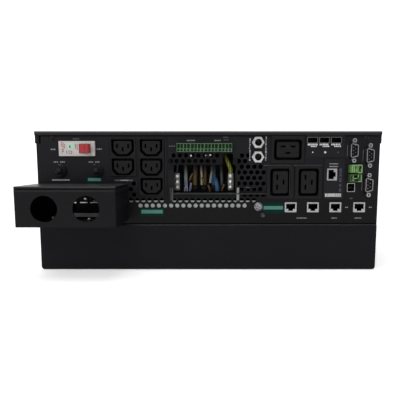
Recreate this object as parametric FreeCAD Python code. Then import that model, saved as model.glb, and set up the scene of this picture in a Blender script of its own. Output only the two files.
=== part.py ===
import FreeCAD, Part
import math
import os

# Rack uninterruptible power supply, four rack units high.
# Millimetres. X to the right seen from the rear, Y from the rear panel to the front bezel, Z up.
# The origin is the centre of the underside.

V = FreeCAD.Vector

# Casing
rack_panel_width = 482.6
ear_reach = 26.3
chassis_width = rack_panel_width - 2 * ear_reach
chassis_height = 176.0
chassis_depth = 660.0
sheet = 1.2
tray_bend = 2.8
fold_bend = 0.8
fit_gap = 0.2
tray_flange = 12.0
cover_lip = 15.0
cover_rear_lip = 4.5
lower_cover_drop = 117.6
lower_cover_proud = 3.0
lower_cover_side_gap = 0.6
shelf_drop = 116.0
partition_flange_drop = 87.0
partition_flange_from_box = 62.0
partition_flange_past_field = 4.0
cover_edge = 1.2
panel_flange = 14.0

# Rear screws
small_head_radius = 3.2
small_head_height = 1.6
small_shank_radius = 1.5
shank_clearance = 0.15
ground_head_radius = 5.5
ground_head_height = 3.0
ground_from_right = 151.3
ground_drop = 94.4
box_screw_from_left = 59.9
box_screw_drop = 84.1
low_screw_from_right = 145.4
low_screw_drop = 106.0
top_screw_from_left = 20.0
top_screw_from_right = 18.0

# Cable box
box_width = 113.7
box_overhang = 1.0
box_reach = 58.0
box_top_drop = 65.3
box_bottom_drop = 111.2
box_lid_lip = 2.2
box_lid_seam = 1.1
box_flange = 6.5
conduit_radius = 15.0
conduit_from_left = 32.3
conduit_spacing = 47.0
conduit_drop = 90.5
pass_width = 28.0
pass_bottom_drop = 101.7
pass_top_drop = 78.0
earth_bar_length = 64.0
earth_bar_height = 5.0
earth_bar_thick = 1.6
earth_bar_end_gap = 3.0
floor_screw_from_rear = 19.0
floor_screw_from_right = 40.0
flange_screw_from_left = 18.6

# Input breaker, a modular breaker laid on its side
breaker_from_left = 51.5
breaker_drop = 21.5
breaker_nose_width = 44.6
breaker_nose_height = 18.4
breaker_proud = 3.0
breaker_body_width = 74.0
breaker_body_depth = 46.0
breaker_nose_depth = 20.0
toggle_offset = 10.0
toggle_radius = 9.0
toggle_gap = 0.4
toggle_height = 11.0
toggle_depth = 3.0
toggle_lever = 4.0
toggle_reach = 17.5
toggle_lean = 22.0

# Push-to-reset breakers
reset_from_left = 29.5
reset_spacing = 46.1
reset_drop = 49.6
reset_nut_radius = 7.6
reset_nut_height = 3.0
reset_bush_radius = 5.6
reset_bush_proud = 5.0
reset_button_radius = 3.9
reset_button_proud = 4.0
reset_bore_gap = 0.1
reset_body_width = 13.0
reset_body_height = 30.0
reset_body_depth = 32.0

# Outlets with the smaller plug
outlet_a_from_left = 108.2
outlet_spacing_x = 35.5
outlet_row_drop = 20.2
outlet_spacing_z = 24.3
outlet_strip_width = 33.0
outlet_strip_margin = 1.0
outlet_plate_proud = 1.5
outlet_depth = 24.0
outlet_hole_width = 28.2
outlet_hole_height = 22.0
outlet_chamfer = 6.4
outlet_corner = 4.6
outlet_groove = 3.0
outlet_groove_depth = 17.0
slot_long = 5.2
slot_wide = 2.2
slot_depth = 16.0
slot_side = 7.0
slot_rise = 2.0

# Outlets with the larger plug
large_hole_width = 34.6
large_hole_height = 25.6
large_corner = 3.5
plate_edge = 0.7
contact_reach = 5.0
large_groove = 3.4
large_plate_width = 42.5
large_plate_height = 35.0
large_slot_side = 6.2
large_slot_rise = 4.0
large_top_from_right = 115.5
large_top_drop = 22.9
large_pair_from_right = 88.6
large_pair_spacing = 35.6
large_pair_drop = 63.5

# Vented field and the wiring window
rib_width = 2.5
rib_proud = 1.5
rib_gap = 0.4
vent_radius = 2.75
vent_pitch = 7.8
vent_row_pitch = 7.05
vent_web = 1.2
vent_from_right = 168.7
vent_first_drop = 93.4
vent_rows = 10
field_left_from_left = 163.0
field_right_from_right = 142.0
window_left_margin = 8.6
window_right_margin = 38.5
window_top_drop = 41.6
window_bottom_drop = 78.8
notch_from_right = 16.4
notch_width = 13.0
notch_top_drop = 27.6
terminal_shelf_reach = 5.0
terminal_shelf_depth = 62.0
terminal_left_side = 5.5
terminal_right_side = 2.5
terminal_back_drop = 34.0
pole_count = 7
block_front = 22.0
block_depth = 26.0
block_height = 15.0
barrier_height = 24.0
barrier_thick = 1.6
clamp_width = 7.0
clamp_height = 22.6
clamp_depth = 5.0
clamp_low_height = 7.0
clamp_screw_radius = 3.3
clamp_screw_height = 1.8
feed_height = 14.0
feed_depth = 10.0
bracket_width = 3.2
bracket_height = 16.0
bracket_reach = 6.0
bracket_thick = 1.2
bracket_gap = 1.3
bracket_below = 7.5

# Signal strip
plug_count = 4
plug_pitch = 17.1
plug_gap = 0.3
plug_height = 10.6
plug_proud = 8.5
plug_centre_from_field = 47.35
plug_drop = 20.4
header_depth = 12.0
pole_pitch = 3.81
entry_width = 2.8
entry_height = 5.2
entry_rise = 2.1
entry_depth = 6.0
screw_hole_radius = 1.25
screw_hole_fall = 3.2

# Round sensor sockets
sensor_from_right = 153.0
sensor_drop = 14.0
sensor_spacing = 17.9
sensor_across = 13.4
sensor_nut = 4.0
sensor_bush_radius = 5.6
sensor_bore_radius = 4.4
sensor_bush_proud = 6.5
sensor_depth = 14.0

# Control board and its sockets
board_gap = 15.0
board_thick = 1.6
plate_thick = 1.0
port_from_right = 23.5
port_last_spacing = 30.2
port_middle_spacing = 28.5
port_first_spacing = 28.2
port_drop = 95.3
port_width = 14.9
port_height = 12.6
port_wall = 0.5
port_proud = 0.8
port_mouth_width = 11.6
port_mouth_height = 6.8
port_latch_width = 5.8
port_latch_height = 2.4
port_face = 0.6
lining = 0.5
port_mouth_depth = 12.5
serial_pitch = 25.0
serial_flange_width = 12.5
serial_flange_length = 31.0
serial_flange_thick = 0.8
serial_shell_width = 9.2
serial_shell_length = 17.8
serial_shell_taper = 2.0
serial_shell_proud = 6.0
serial_plug_gap = 0.8
jack_across = 4.8
jack_height = 5.0
serial_a_from_right = 33.7
serial_a_drop = 24.0
serial_b_from_right = 13.8
serial_b_drop = 30.1
serial_c_drop = 66.9
relay_from_right = 31.4
relay_width = 15.0
relay_height = 9.8
relay_drop = 46.5
relay_spacing = 11.6
usb_from_right = 34.8
usb_drop = 70.2
usb_width = 9.8
usb_height = 10.8

# Network card and control card
card_left_from_right = 93.0
card_width = 48.5
card_lap = 0.9
card_top_drop = 4.8
card_height = 27.4
card_port_width = 13.0
card_port_height = 7.4
card_port_pitch = 14.8
card_port_shift = 1.4
card_port_drop = 11.0
card_board_depth = 80.0
control_left_from_right = 69.2
control_width = 25.0
control_top_drop = 34.0
control_height = 51.0
card_jack_drop = 53.8
jack_shift = 2.5
usb_pair_drop = 42.0
usb_pair_width = 12.0
usb_pair_height = 5.6

# Inside
power_board_width = 372.0
power_board_length = 360.0
power_board_start = 110.0
standoff_height = 6.0
standoff_radius = 3.0
sink_width = 60.0
sink_height = 52.0
sink_length = 220.0
sink_fin = 1.6
sink_pitch = 6.0
sink_from_side = 20.0
sink_from_end = 30.0
capacitor_radius = 15.0
capacitor_height = 48.0
choke_radius = 26.0
choke_core = 9.0
fan_size = 92.0
fan_depth = 38.0
fan_spacing = 220.0
fan_from_front = 90.0
fan_hub_radius = 19.0
fan_tip_gap = 1.5
fan_blades = 7
fan_spindle_radius = 3.0
pack_gap = 6.0
pack_length = 560.0
pack_from_front = 12.0

# Front
bezel_depth = 30.0
bezel_wall = 2.5
bezel_corner = 6.0
bezel_edge = 1.5
louvre_height = 4.0
louvre_pitch = 10.0
louvre_length = 140.0
louvre_from_centre = 58.0
louvre_rows = 14
display_width = 90.0
display_height = 50.0
display_drop = 42.0
display_lip = 3.0
display_gap = 0.3
display_depth = 14.0
window_width = 66.0
window_height = 24.0
window_depth = 2.0
button_radius = 5.0
button_gap = 0.3
button_proud = 2.0
button_depth = 9.0
button_spacing = 40.0
button_below = 14.0

# Rack ears
rack_hole_from_ear_edge = 8.75
rack_slot_width = 6.8
rack_slot_length = 10.3
rack_slot_low = 37.7
rack_slot_from_ear_top = 19.7
ear_thick = 2.0
ear_side = 42.0
ear_top_gap = 17.0
ear_foot_gap = 3.0
ear_screw_from_front = 14.0
ear_screw_spacing = 18.0
ear_screw_low = 22.0
ear_screw_from_top = 40.0

left = -chassis_width / 2
right = chassis_width / 2
top = chassis_height
rear = -chassis_depth / 2
front = chassis_depth / 2
inside = rear + sheet


def level(drop):
    """Height of a feature given by its distance below the top."""
    return top - drop


def box(x0, x1, y0, y1, z0, z1):
    """A cuboid between two corners."""
    return Part.makeBox(x1 - x0, y1 - y0, z1 - z0, V(x0, y0, z0))


def rod(radius, x, y, z, direction, length):
    """A cylinder from a point along a direction."""
    return Part.makeCylinder(radius, length, V(x, y, z), direction)


def rounded_wire(points, radii):
    """A closed wire through the points, each corner rounded by its radius."""
    starts = []
    middles = []
    ends = []
    count = len(points)
    for i in range(count):
        corner = points[i]
        back = points[i - 1] - corner
        back.normalize()
        ahead = points[(i + 1) % count] - corner
        ahead.normalize()
        if radii[i] <= 0:
            starts.append(corner)
            middles.append(None)
            ends.append(corner)
            continue
        half = back.getAngle(ahead) / 2
        reach = radii[i] / math.tan(half)
        bisector = back + ahead
        bisector.normalize()
        starts.append(corner + back * reach)
        middles.append(corner + bisector * (radii[i] / math.sin(half) - radii[i]))
        ends.append(corner + ahead * reach)
    edges = []
    for i in range(count):
        if middles[i] is not None:
            edges.append(Part.Arc(starts[i], middles[i], ends[i]).toShape())
        following = starts[(i + 1) % count]
        if (following - ends[i]).Length > 1e-6:
            edges.append(Part.LineSegment(ends[i], following).toShape())
    return Part.Wire(edges)


def rear_rectangle(x0, x1, z0, z1, y, radius=0.0):
    """A closed rectangle in a plane parallel to the rear panel."""
    points = [V(x0, y, z0), V(x1, y, z0), V(x1, y, z1), V(x0, y, z1)]
    return rounded_wire(points, [radius] * 4)


def rear_circle(x, z, y, radius):
    """A circle in a plane parallel to the rear panel."""
    return Part.Wire(Part.makeCircle(radius, V(x, y, z), V(0, 1, 0)))


def plate(outline, holes, direction):
    """A flat plate with holes cut right through it."""
    face = Part.makeFace([outline] + holes, "Part::FaceMakerBullseye")
    return face.extrude(direction)


def block(x, z, width, height, y0, y1, radius=0.0):
    """A rounded block centred on x and z, from y0 to y1."""
    wire = rear_rectangle(x - width / 2, x + width / 2, z - height / 2, z + height / 2, y0, radius)
    return plate(wire, [], V(0, y1 - y0, 0))


def edged(solid, y):
    """A moulded plate with the edges of its outer face bevelled."""
    rim = [e for e in solid.Edges if all(abs(v.Y - y) < 0.01 for v in e.Vertexes)]
    return solid.makeChamfer(plate_edge, rim)


def folded(points, thickness, radius, direction):
    """Sheet metal folded along points, thickened to the left of the path, drawn out along direction."""
    normal = V(direction)
    normal.normalize()
    count = len(points)
    sides = []
    for i in range(count - 1):
        along = points[i + 1] - points[i]
        along.normalize()
        sides.append(normal.cross(along))
    offset = [points[0] + sides[0] * thickness]
    near = [0.0]
    far = [0.0]
    for i in range(1, count - 1):
        spread = (sides[i - 1] + sides[i]) * (thickness / (1 + sides[i - 1].dot(sides[i])))
        offset.append(points[i] + spread)
        inward = (points[i + 1] - points[i]).dot(sides[i - 1]) > 0
        near.append(radius + thickness if inward else radius)
        far.append(radius if inward else radius + thickness)
    offset.append(points[-1] + sides[-1] * thickness)
    near.append(0.0)
    far.append(0.0)
    outline = rounded_wire(points + offset[::-1], near + far[::-1])
    return plate(outline, [], direction)


def screw(x, y, z, direction, head_radius, head_height, shank_radius, shank_length):
    """A screw with a low domed head outside the point and a shank inside it."""
    dome = head_radius * 0.35
    points = [
        V(0, 0, -shank_length),
        V(shank_radius, 0, -shank_length),
        V(shank_radius, 0, 0),
        V(head_radius, 0, 0),
        V(head_radius, 0, head_height - dome),
        V(head_radius - dome, 0, head_height),
        V(0, 0, head_height),
    ]
    wire = Part.makePolygon(points + [points[0]])
    solid = Part.Face(wire).revolve(V(0, 0, 0), V(0, 0, 1), 360)
    turn = FreeCAD.Rotation(V(0, 0, 1), direction)
    solid.Placement = FreeCAD.Placement(V(x, y, z), turn)
    return solid


def hexagon(x, y, z, across, height, bore):
    """A hexagon nut facing the rear, its seat at y."""
    points = []
    for i in range(6):
        angle = math.radians(60 * i)
        reach = across / math.sqrt(3)
        points.append(V(x + reach * math.cos(angle), y, z + reach * math.sin(angle)))
    wire = Part.makePolygon(points + [points[0]])
    holes = [rear_circle(x, z, y, bore)] if bore > 0 else []
    return plate(wire, holes, V(0, -height, 0))


def cable(points, radius):
    """A round wire along straight runs joined by tangent arcs."""
    edges = []
    last = points[0]
    for i in range(1, len(points) - 1):
        back = points[i - 1] - points[i]
        ahead = points[i + 1] - points[i]
        reach = 0.45 * min(back.Length, ahead.Length)
        back.normalize()
        ahead.normalize()
        half = back.getAngle(ahead) / 2
        bend = reach * math.tan(half)
        bisector = back + ahead
        bisector.normalize()
        first = points[i] + back * reach
        middle = points[i] + bisector * (bend / math.sin(half) - bend)
        final = points[i] + ahead * reach
        edges.append(Part.LineSegment(last, first).toShape())
        edges.append(Part.Arc(first, middle, final).toShape())
        last = final
    edges.append(Part.LineSegment(last, points[-1]).toShape())
    path = Part.Wire(edges)
    circle = Part.Wire(Part.makeCircle(radius, points[0], points[1] - points[0]))
    return path.makePipeShell([circle], True, False)


# Places shared by several pieces
lower_top = level(lower_cover_drop)
shelf_top = level(shelf_drop) + sheet
box_x0 = left - box_overhang
box_x1 = box_x0 + box_width
box_top = level(box_top_drop)
box_bottom = level(box_bottom_drop)
conduit_z = level(conduit_drop)
conduit_x = [left + conduit_from_left, left + conduit_from_left + conduit_spacing]
breaker_x = left + breaker_from_left
breaker_z = level(breaker_drop)
reset_x = [left + reset_from_left, left + reset_from_left + reset_spacing]
reset_z = level(reset_drop)
strip_a_x = left + outlet_a_from_left
strip_b_x = strip_a_x + outlet_spacing_x
strip_top = level(outlet_row_drop) + outlet_hole_height / 2 + outlet_strip_margin
rib_x = strip_b_x + outlet_strip_width / 2 + rib_gap
large_x = [right - large_pair_from_right - large_pair_spacing, right - large_pair_from_right]
large_z = level(large_pair_drop)
large_top_x = right - large_top_from_right
large_top_z = level(large_top_drop)
field_left = left + field_left_from_left
field_right = right - field_right_from_right
window_x0 = field_left + window_left_margin
window_x1 = field_right - window_right_margin
window_z0 = level(window_bottom_drop)
window_z1 = level(window_top_drop)
bay_x0 = window_x0 - terminal_left_side
bay_x1 = window_x1 + terminal_right_side
notch_x1 = window_x1 - notch_from_right + notch_width
notch_x0 = notch_x1 - notch_width
notch_z = level(notch_top_drop)
plug_x = field_left + plug_centre_from_field
plug_z = level(plug_drop)
sensor_x = right - sensor_from_right
sensor_z = [level(sensor_drop), level(sensor_drop + sensor_spacing)]
ground_x = right - ground_from_right
ground_z = level(ground_drop)
board_y = inside + board_gap
port_z = level(port_drop)
port_x = [right - port_from_right]
for gap in (port_last_spacing, port_middle_spacing, port_first_spacing):
    port_x.insert(0, port_x[0] - gap)
serial_places = [
    V(right - serial_a_from_right, 0, level(serial_a_drop)),
    V(right - serial_b_from_right, 0, level(serial_b_drop)),
    V(right - serial_b_from_right, 0, level(serial_c_drop)),
]
relay_x = right - relay_from_right
relay_z = [level(relay_drop), level(relay_drop + relay_spacing)]
usb_x = right - usb_from_right
usb_z = level(usb_drop)
card_x = right - card_left_from_right + card_width / 2
card_z = level(card_top_drop) - card_height / 2
card_port_x = [card_x - card_port_shift + card_port_pitch * i for i in (-1, 0, 1)]
card_port_z = level(card_port_drop)
control_x = right - control_left_from_right + control_width / 2
control_z = level(control_top_drop) - control_height / 2
fan_x = [-fan_spacing / 2, fan_spacing / 2]
fan_y = front - fan_from_front
fan_z = shelf_top + fan_size / 2
display_z = level(display_drop)
display_front = front + bezel_depth - bezel_edge
button_x = [-button_spacing / 2, button_spacing / 2]
button_z = display_z - button_below
rear_screws = [
    V(left + top_screw_from_left, 0, level(cover_rear_lip + small_head_radius + 2 * fit_gap)),
    V(right - top_screw_from_right, 0, level(cover_rear_lip + small_head_radius + 2 * fit_gap)),
    V(left + box_screw_from_left, 0, level(box_screw_drop)),
    V(right - low_screw_from_right, 0, level(low_screw_drop)),
    V(left + flange_screw_from_left, 0, box_bottom + sheet + small_head_radius + fit_gap),
]


def chassis_tray():
    """Floor and both sides, folded from one sheet, with a flange along each top edge."""
    edge = top - sheet - fit_gap
    points = [
        V(left + tray_flange, rear, edge),
        V(left, rear, edge),
        V(left, rear, 0),
        V(right, rear, 0),
        V(right, rear, edge),
        V(right - tray_flange, rear, edge),
    ]
    # Drawn from the front end towards the rear, so that the fold faces inwards.
    front_points = [p + V(0, chassis_depth, 0) for p in points]
    return [folded(front_points, sheet, tray_bend, V(0, -chassis_depth, 0))]


def top_cover():
    """Lid with a lip down each side and a lip over the rear panel."""
    x0 = left - fit_gap - sheet
    x1 = right + fit_gap + sheet
    y0 = rear - fit_gap - sheet
    y1 = front - 4
    points = [
        V(x0, y0 + sheet, top - cover_lip),
        V(x0, y0 + sheet, top),
        V(x1, y0 + sheet, top),
        V(x1, y0 + sheet, top - cover_lip),
    ]
    lid = folded(points, sheet, fold_bend, V(0, y1 - y0 - sheet, 0))
    wire = rear_rectangle(x0, x1, top - cover_rear_lip, top, y0)
    rear_lip = plate(wire, [], V(0, sheet, 0))
    lid = lid.fuse(rear_lip).removeSplitter()
    return [lid]


def vent_places():
    """Centres of the staggered round vents."""
    places = []
    for row in range(vent_rows):
        z = level(vent_first_drop) + row * vent_row_pitch
        x = right - vent_from_right + (vent_pitch / 2 if row % 2 else 0.0)
        while x + vent_pitch + vent_radius < field_right:
            x += vent_pitch
        while x - vent_radius > box_x0 + pass_width:
            if vent_is_free(x, z, row):
                places.append(V(x, 0, z))
            x -= vent_pitch
    return places


def clear_of_box(x, z, x0, x1, z0, z1, edge):
    """True where a vent keeps clear of a rectangle."""
    return not (x0 - edge < x < x1 + edge and z0 - edge < z < z1 + edge)


def clear_of_disc(x, z, place_x, place_z, radius, edge):
    """True where a vent keeps clear of a disc."""
    return math.hypot(x - place_x, z - place_z) > radius + edge


def vent_is_free(x, z, row):
    """True where a vent keeps clear of the window and of the parts fixed to the panel."""
    edge = vent_radius + vent_web
    if row == 0 and not strip_a_x + outlet_strip_width / 2 <= x < right - vent_from_right + 1:
        return False
    if row > 1 and x < rib_x and not box_x1 + vent_radius < x < strip_b_x - outlet_strip_width / 2 - edge:
        return False
    if row > 4 and x < rib_x:
        return False
    if rib_x - edge < x < rib_x + rib_width + edge and z > window_z0 - 4 - edge:
        return False
    flange_x = box_x1 - sheet
    free = abs(x - flange_x) > edge + sheet or z > box_top + edge
    free = free and clear_of_box(x, z, window_x0, window_x1, window_z0, window_z1, edge)
    free = free and clear_of_box(x, z, notch_x0, notch_x1, window_z1, notch_z, edge)
    free = free and clear_of_box(x, z, plug_x - plug_count * plug_pitch / 2, plug_x + plug_count * plug_pitch / 2,
                                 plug_z - plug_height / 2, plug_z + plug_height / 2, edge - 0.4)
    free = free and clear_of_box(x, z, conduit_x[0] - pass_width / 2, conduit_x[0] + pass_width / 2,
                                 level(pass_bottom_drop), level(pass_top_drop), edge)
    for joint in (rib_x + rib_width, field_right):
        free = free and abs(x - joint) > vent_radius + fit_gap
    for sensor in sensor_z:
        free = free and clear_of_disc(x, z, sensor_x, sensor, sensor_across / math.sqrt(3), vent_radius + 0.3)
    for place in rear_screws:
        free = free and clear_of_disc(x, z, place.x, place.z, small_head_radius, edge)
    free = free and clear_of_disc(x, z, ground_x, ground_z, ground_head_radius, edge)
    for bracket in bracket_places():
        z0 = window_z0 - bracket_below
        free = free and (row < 2 or clear_of_box(x, z, bracket, bracket + bracket_width, z0, z0 + bracket_height, vent_radius))
    return free


def rear_holes():
    """Every cut-out of the rear panel."""
    y = rear
    room = fit_gap
    holes = []
    width = breaker_nose_width / 2 + room
    height = breaker_nose_height / 2 + room
    holes.append(rear_rectangle(breaker_x - width, breaker_x + width, breaker_z - height, breaker_z + height, y))
    for x in reset_x:
        holes.append(rear_circle(x, reset_z, y, reset_bush_radius + room))
    for x, count in ((strip_a_x, 2), (strip_b_x, 3)):
        half = outlet_hole_width / 2 + 1 + room
        low = strip_top - strip_height(count) + 2.2 - room
        holes.append(rear_rectangle(x - half, x + half, low, strip_top - 2.2 + room, y))
    half_w = large_hole_width / 2 + 1.5 + room
    half_h = large_hole_height / 2 + 1.5 + room
    holes.append(rear_rectangle(large_top_x - half_w, large_top_x + half_w, large_top_z - half_h, large_top_z + half_h, y))
    for x in large_x:
        holes.append(rear_rectangle(x - half_h, x + half_h, large_z - half_w, large_z + half_w, y))
    corners = [
        V(window_x0, y, window_z0),
        V(window_x1, y, window_z0),
        V(window_x1, y, window_z1),
        V(notch_x1, y, window_z1),
        V(notch_x1, y, notch_z),
        V(notch_x0, y, notch_z),
        V(notch_x0, y, window_z1),
        V(window_x0, y, window_z1),
    ]
    holes.append(rounded_wire(corners, [0, 0, 2.0, 1.0, 2.0, 2.0, 1.0, 2.0]))
    half = plug_count * plug_pitch / 2 + room
    holes.append(rear_rectangle(plug_x - half, plug_x + half, plug_z - plug_height / 2 - room, plug_z + plug_height / 2 + room, y))
    for z in sensor_z:
        holes.append(rear_circle(sensor_x, z, y, sensor_bush_radius + room))
    holes.append(rear_circle(ground_x, ground_z, y, small_shank_radius + 0.7 + shank_clearance))
    for x in port_x:
        holes.append(rear_rectangle(x - port_width / 2 - room, x + port_width / 2 + room,
                                    port_z - port_height / 2 - room, port_z + port_height / 2 + room, y))
    for place in serial_places:
        holes.append(serial_outline(place, room, y))
        for side in (-1, 1):
            holes.append(rear_circle(place.x, place.z + side * serial_pitch / 2, y, 1.5 + shank_clearance))
    for z in relay_z:
        holes.append(rear_rectangle(relay_x - relay_width / 2 + 1, relay_x + relay_width / 2 - 1,
                                    z - relay_height / 2 + 1, z + relay_height / 2 - 1, y))
    holes.append(rear_rectangle(usb_x - usb_width / 2 - room, usb_x + usb_width / 2 + room,
                                usb_z - usb_height / 2 - room, usb_z + usb_height / 2 + room, y))
    holes.append(rear_rectangle(card_x - card_width / 2 + card_lap, card_x + card_width / 2 - card_lap,
                                card_z - card_height / 2 + 2, card_z + card_height / 2 - 2, y))
    holes.append(rear_rectangle(control_x - control_width / 2 + 2, control_x + control_width / 2 - 2,
                                control_z - control_height / 2 + 2, control_z + control_height / 2 - 2, y))
    holes.append(rear_rectangle(conduit_x[0] - pass_width / 2, conduit_x[0] + pass_width / 2,
                                level(pass_bottom_drop), level(pass_top_drop), y, 4.0))
    for place in rear_screws:
        holes.append(rear_circle(place.x, place.z, y, small_shank_radius + shank_clearance))
    for place in vent_places():
        holes.append(rear_circle(place.x, place.z, y, vent_radius))
    return holes


def sheet_outline(x0, x1, z0, z1, y):
    """Outline of a sheet whose upper corners follow the folds of the tray."""
    points = [V(x0, y, z0), V(x1, y, z0), V(x1, y, z1), V(x0, y, z1)]
    return rounded_wire(points, [0, 0, tray_bend, tray_bend])


def rear_sheet(x0, x1, hole_wires):
    """One upright sheet of the rear panel with its cut-outs and a folded top edge."""
    edge_x0 = left + sheet + fit_gap
    edge_x1 = right - sheet - fit_gap
    z0 = lower_top + fit_gap
    z1 = top - sheet * 2 - fit_gap * 2
    corner = tray_bend + sheet
    points = [V(x0, rear, z0), V(x1, rear, z0), V(x1, rear, z1), V(x0, rear, z1)]
    radii = [0, 0, tray_bend if x1 == edge_x1 else 0, tray_bend if x0 == edge_x0 else 0]
    inside_wires = [wire for wire in hole_wires if x0 < wire.BoundBox.Center.x < x1]
    panel = plate(rounded_wire(points, radii), inside_wires, V(0, sheet, 0))
    pieces = [box(max(x0, edge_x0 + corner), min(x1, edge_x1 - corner), rear, rear + panel_flange, z1 - sheet, z1)]
    if x0 == edge_x0:
        pieces.append(box(x0, x0 + sheet, rear, rear + panel_flange, z0 + 4, z1 - corner))
    if x1 == edge_x1:
        pieces.append(box(x1 - sheet, x1, rear, rear + panel_flange, z0 + 4, z1 - corner))
    return panel.multiFuse(pieces).removeSplitter()


def rear_panel(part):
    """Rear panel: left sheet with the raised rib, middle sheet with the vents, right sheet with the sockets."""
    wires = rear_holes()
    if part == "left":
        panel = rear_sheet(left + sheet + fit_gap, rib_x + rib_width, wires)
        rib = box(rib_x, rib_x + rib_width, rear - rib_proud, rear, window_z0 - 4, level(7))
        return [panel.fuse(rib).removeSplitter()]
    if part == "middle":
        return [rear_sheet(rib_x + rib_width, field_right, wires)]
    return [rear_sheet(field_right, right - sheet - fit_gap, wires)]


def lower_rear_cover():
    """Plain pan closing the battery compartment, rounded at the bottom corners."""
    x0 = left + lower_cover_side_gap
    x1 = right - lower_cover_side_gap
    z0 = lower_cover_side_gap
    y0 = rear - lower_cover_proud
    corner = tray_bend + sheet
    points = [V(x0, y0, z0), V(x1, y0, z0), V(x1, y0, lower_top), V(x0, y0, lower_top)]
    radii = [corner, corner, 0.6, 0.6]
    depth = lower_cover_proud - fit_gap
    outer = plate(rounded_wire(points, radii), [], V(0, depth, 0))
    rim = [e for e in outer.Edges if all(abs(v.Y - y0) < 0.01 for v in e.Vertexes)]
    outer = outer.makeFillet(cover_edge, rim)
    low = V(sheet, sheet, sheet)
    high = V(-sheet, sheet, -sheet)
    inner_points = [
        points[0] + low,
        points[1] + V(-sheet, sheet, sheet),
        points[2] + high,
        points[3] + V(sheet, sheet, -sheet),
    ]
    inner = plate(rounded_wire(inner_points, [tray_bend, tray_bend, 0, 0]), [], V(0, depth, 0))
    pan = outer.cut(inner)
    ledge = box(x0 + 2, x1 - 2, y0 + sheet, rear + 12, lower_top - sheet, lower_top)
    ledge = ledge.cut(box(left - 1, right + 1, rear - fit_gap, rear + 20, 0, lower_top - sheet))
    return [pan.fuse(ledge).removeSplitter()]


def partition_shelf():
    """Plated shelf between the power section and the batteries, turned up behind the panel."""
    x0 = left + sheet + fit_gap
    x1 = right - sheet - fit_gap
    y0 = inside + 14.5
    z0 = shelf_top - sheet
    shelf = box(x0, x1, y0, front - sheet - fit_gap, z0, shelf_top)
    flange_x0 = box_x1 - partition_flange_from_box
    flange_x1 = field_right + partition_flange_past_field
    points = [
        V(flange_x0, inside + fit_gap, level(partition_flange_drop)),
        V(flange_x0, inside + fit_gap, shelf_top),
        V(flange_x0, inside + panel_flange + 10, shelf_top),
    ]
    angle = folded(points, sheet, fold_bend, V(flange_x1 - flange_x0, 0, 0))
    for place, radius in ((V(ground_x, 0, ground_z), small_shank_radius + 0.7), (rear_screws[3], small_shank_radius)):
        angle = angle.cut(rod(radius + shank_clearance, place.x, inside, place.z, V(0, 1, 0), 5))
    return [shelf, angle]


def box_outline(z):
    """Outline of the cable box seen from above."""
    y0 = rear - box_reach
    corner = fold_bend + sheet
    points = [V(box_x0, y0, z), V(box_x1, y0, z), V(box_x1, rear, z), V(box_x0, rear, z)]
    return rounded_wire(points, [corner, corner, 0, 0])


def cable_box():
    """Sheet metal box with two conduit holes and an upturned flange on its floor."""
    y0 = rear - box_reach
    z1 = box_top - sheet - fit_gap
    outer = plate(box_outline(box_bottom), [], V(0, 0, z1 - box_bottom))
    floor = box_bottom + sheet
    inner_points = [
        V(box_x0 + sheet, y0 + sheet, floor),
        V(box_x1 - sheet, y0 + sheet, floor),
        V(box_x1 - sheet, rear + 1, floor),
        V(box_x0 + sheet, rear + 1, floor),
    ]
    inner = plate(rounded_wire(inner_points, [fold_bend, fold_bend, 0, 0]), [], V(0, 0, z1 - floor + 1))
    body = outer.cut(inner)
    seam_z = box_top - box_lid_lip - box_lid_seam
    body = body.cut(box(box_x0 - 1, box_x1 + 1, y0 - 1, y0 + sheet + fold_bend + fit_gap, seam_z, z1 + 1))
    for x in conduit_x:
        body = body.cut(rod(conduit_radius, x, y0 - 1, conduit_z, V(0, 1, 0), sheet + 2))
    flange = box(box_x0 + sheet, box_x1 - sheet, rear - sheet, rear, floor, floor + box_flange)
    body = body.fuse(flange).removeSplitter()
    screw_place = rear_screws[4]
    body = body.cut(rod(small_shank_radius + shank_clearance, screw_place.x, rear - 3, screw_place.z, V(0, 1, 0), 4))
    floor_hole = floor_screw_place()
    return [body.cut(rod(small_shank_radius + shank_clearance, floor_hole.x, floor_hole.y, floor_hole.z - 3, V(0, 0, 1), 4))]


def floor_screw_place():
    """Seat of the screw in the floor of the cable box."""
    return V(box_x1 - floor_screw_from_right, rear - floor_screw_from_rear, box_bottom + sheet)


def cable_box_lid():
    """Lid of the cable box, turned down above the front wall and flush with it."""
    y0 = rear - box_reach
    points = [
        V(box_x0, rear, box_top),
        V(box_x0, y0, box_top),
        V(box_x0, y0, box_top - box_lid_lip),
    ]
    lid = folded(points, sheet, fold_bend, V(box_width, 0, 0))
    return [lid.common(plate(box_outline(box_top - box_lid_lip - 1), [], V(0, 0, box_lid_lip + 2)))]


def input_breaker():
    """Modular breaker with its nose through the panel and a round pocket for the toggle."""
    nose = block(breaker_x, breaker_z, breaker_nose_width, breaker_nose_height, rear - breaker_proud, inside + breaker_nose_depth, 0.6)
    body_z = breaker_nose_height
    body = block(breaker_x, breaker_z, breaker_body_width, body_z, inside + 3, inside + breaker_body_depth, 0.6)
    pivot = toggle_pivot()
    height = toggle_height + 2 * toggle_gap
    pocket = rod(toggle_radius + toggle_gap, pivot.x, pivot.y, pivot.z - height / 2, V(0, 0, 1), height)
    return [nose.fuse(body).cut(pocket).removeSplitter()]


def toggle_pivot():
    """Centre of the toggle's barrel."""
    return V(breaker_x + toggle_offset, rear + toggle_depth, breaker_z)


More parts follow.
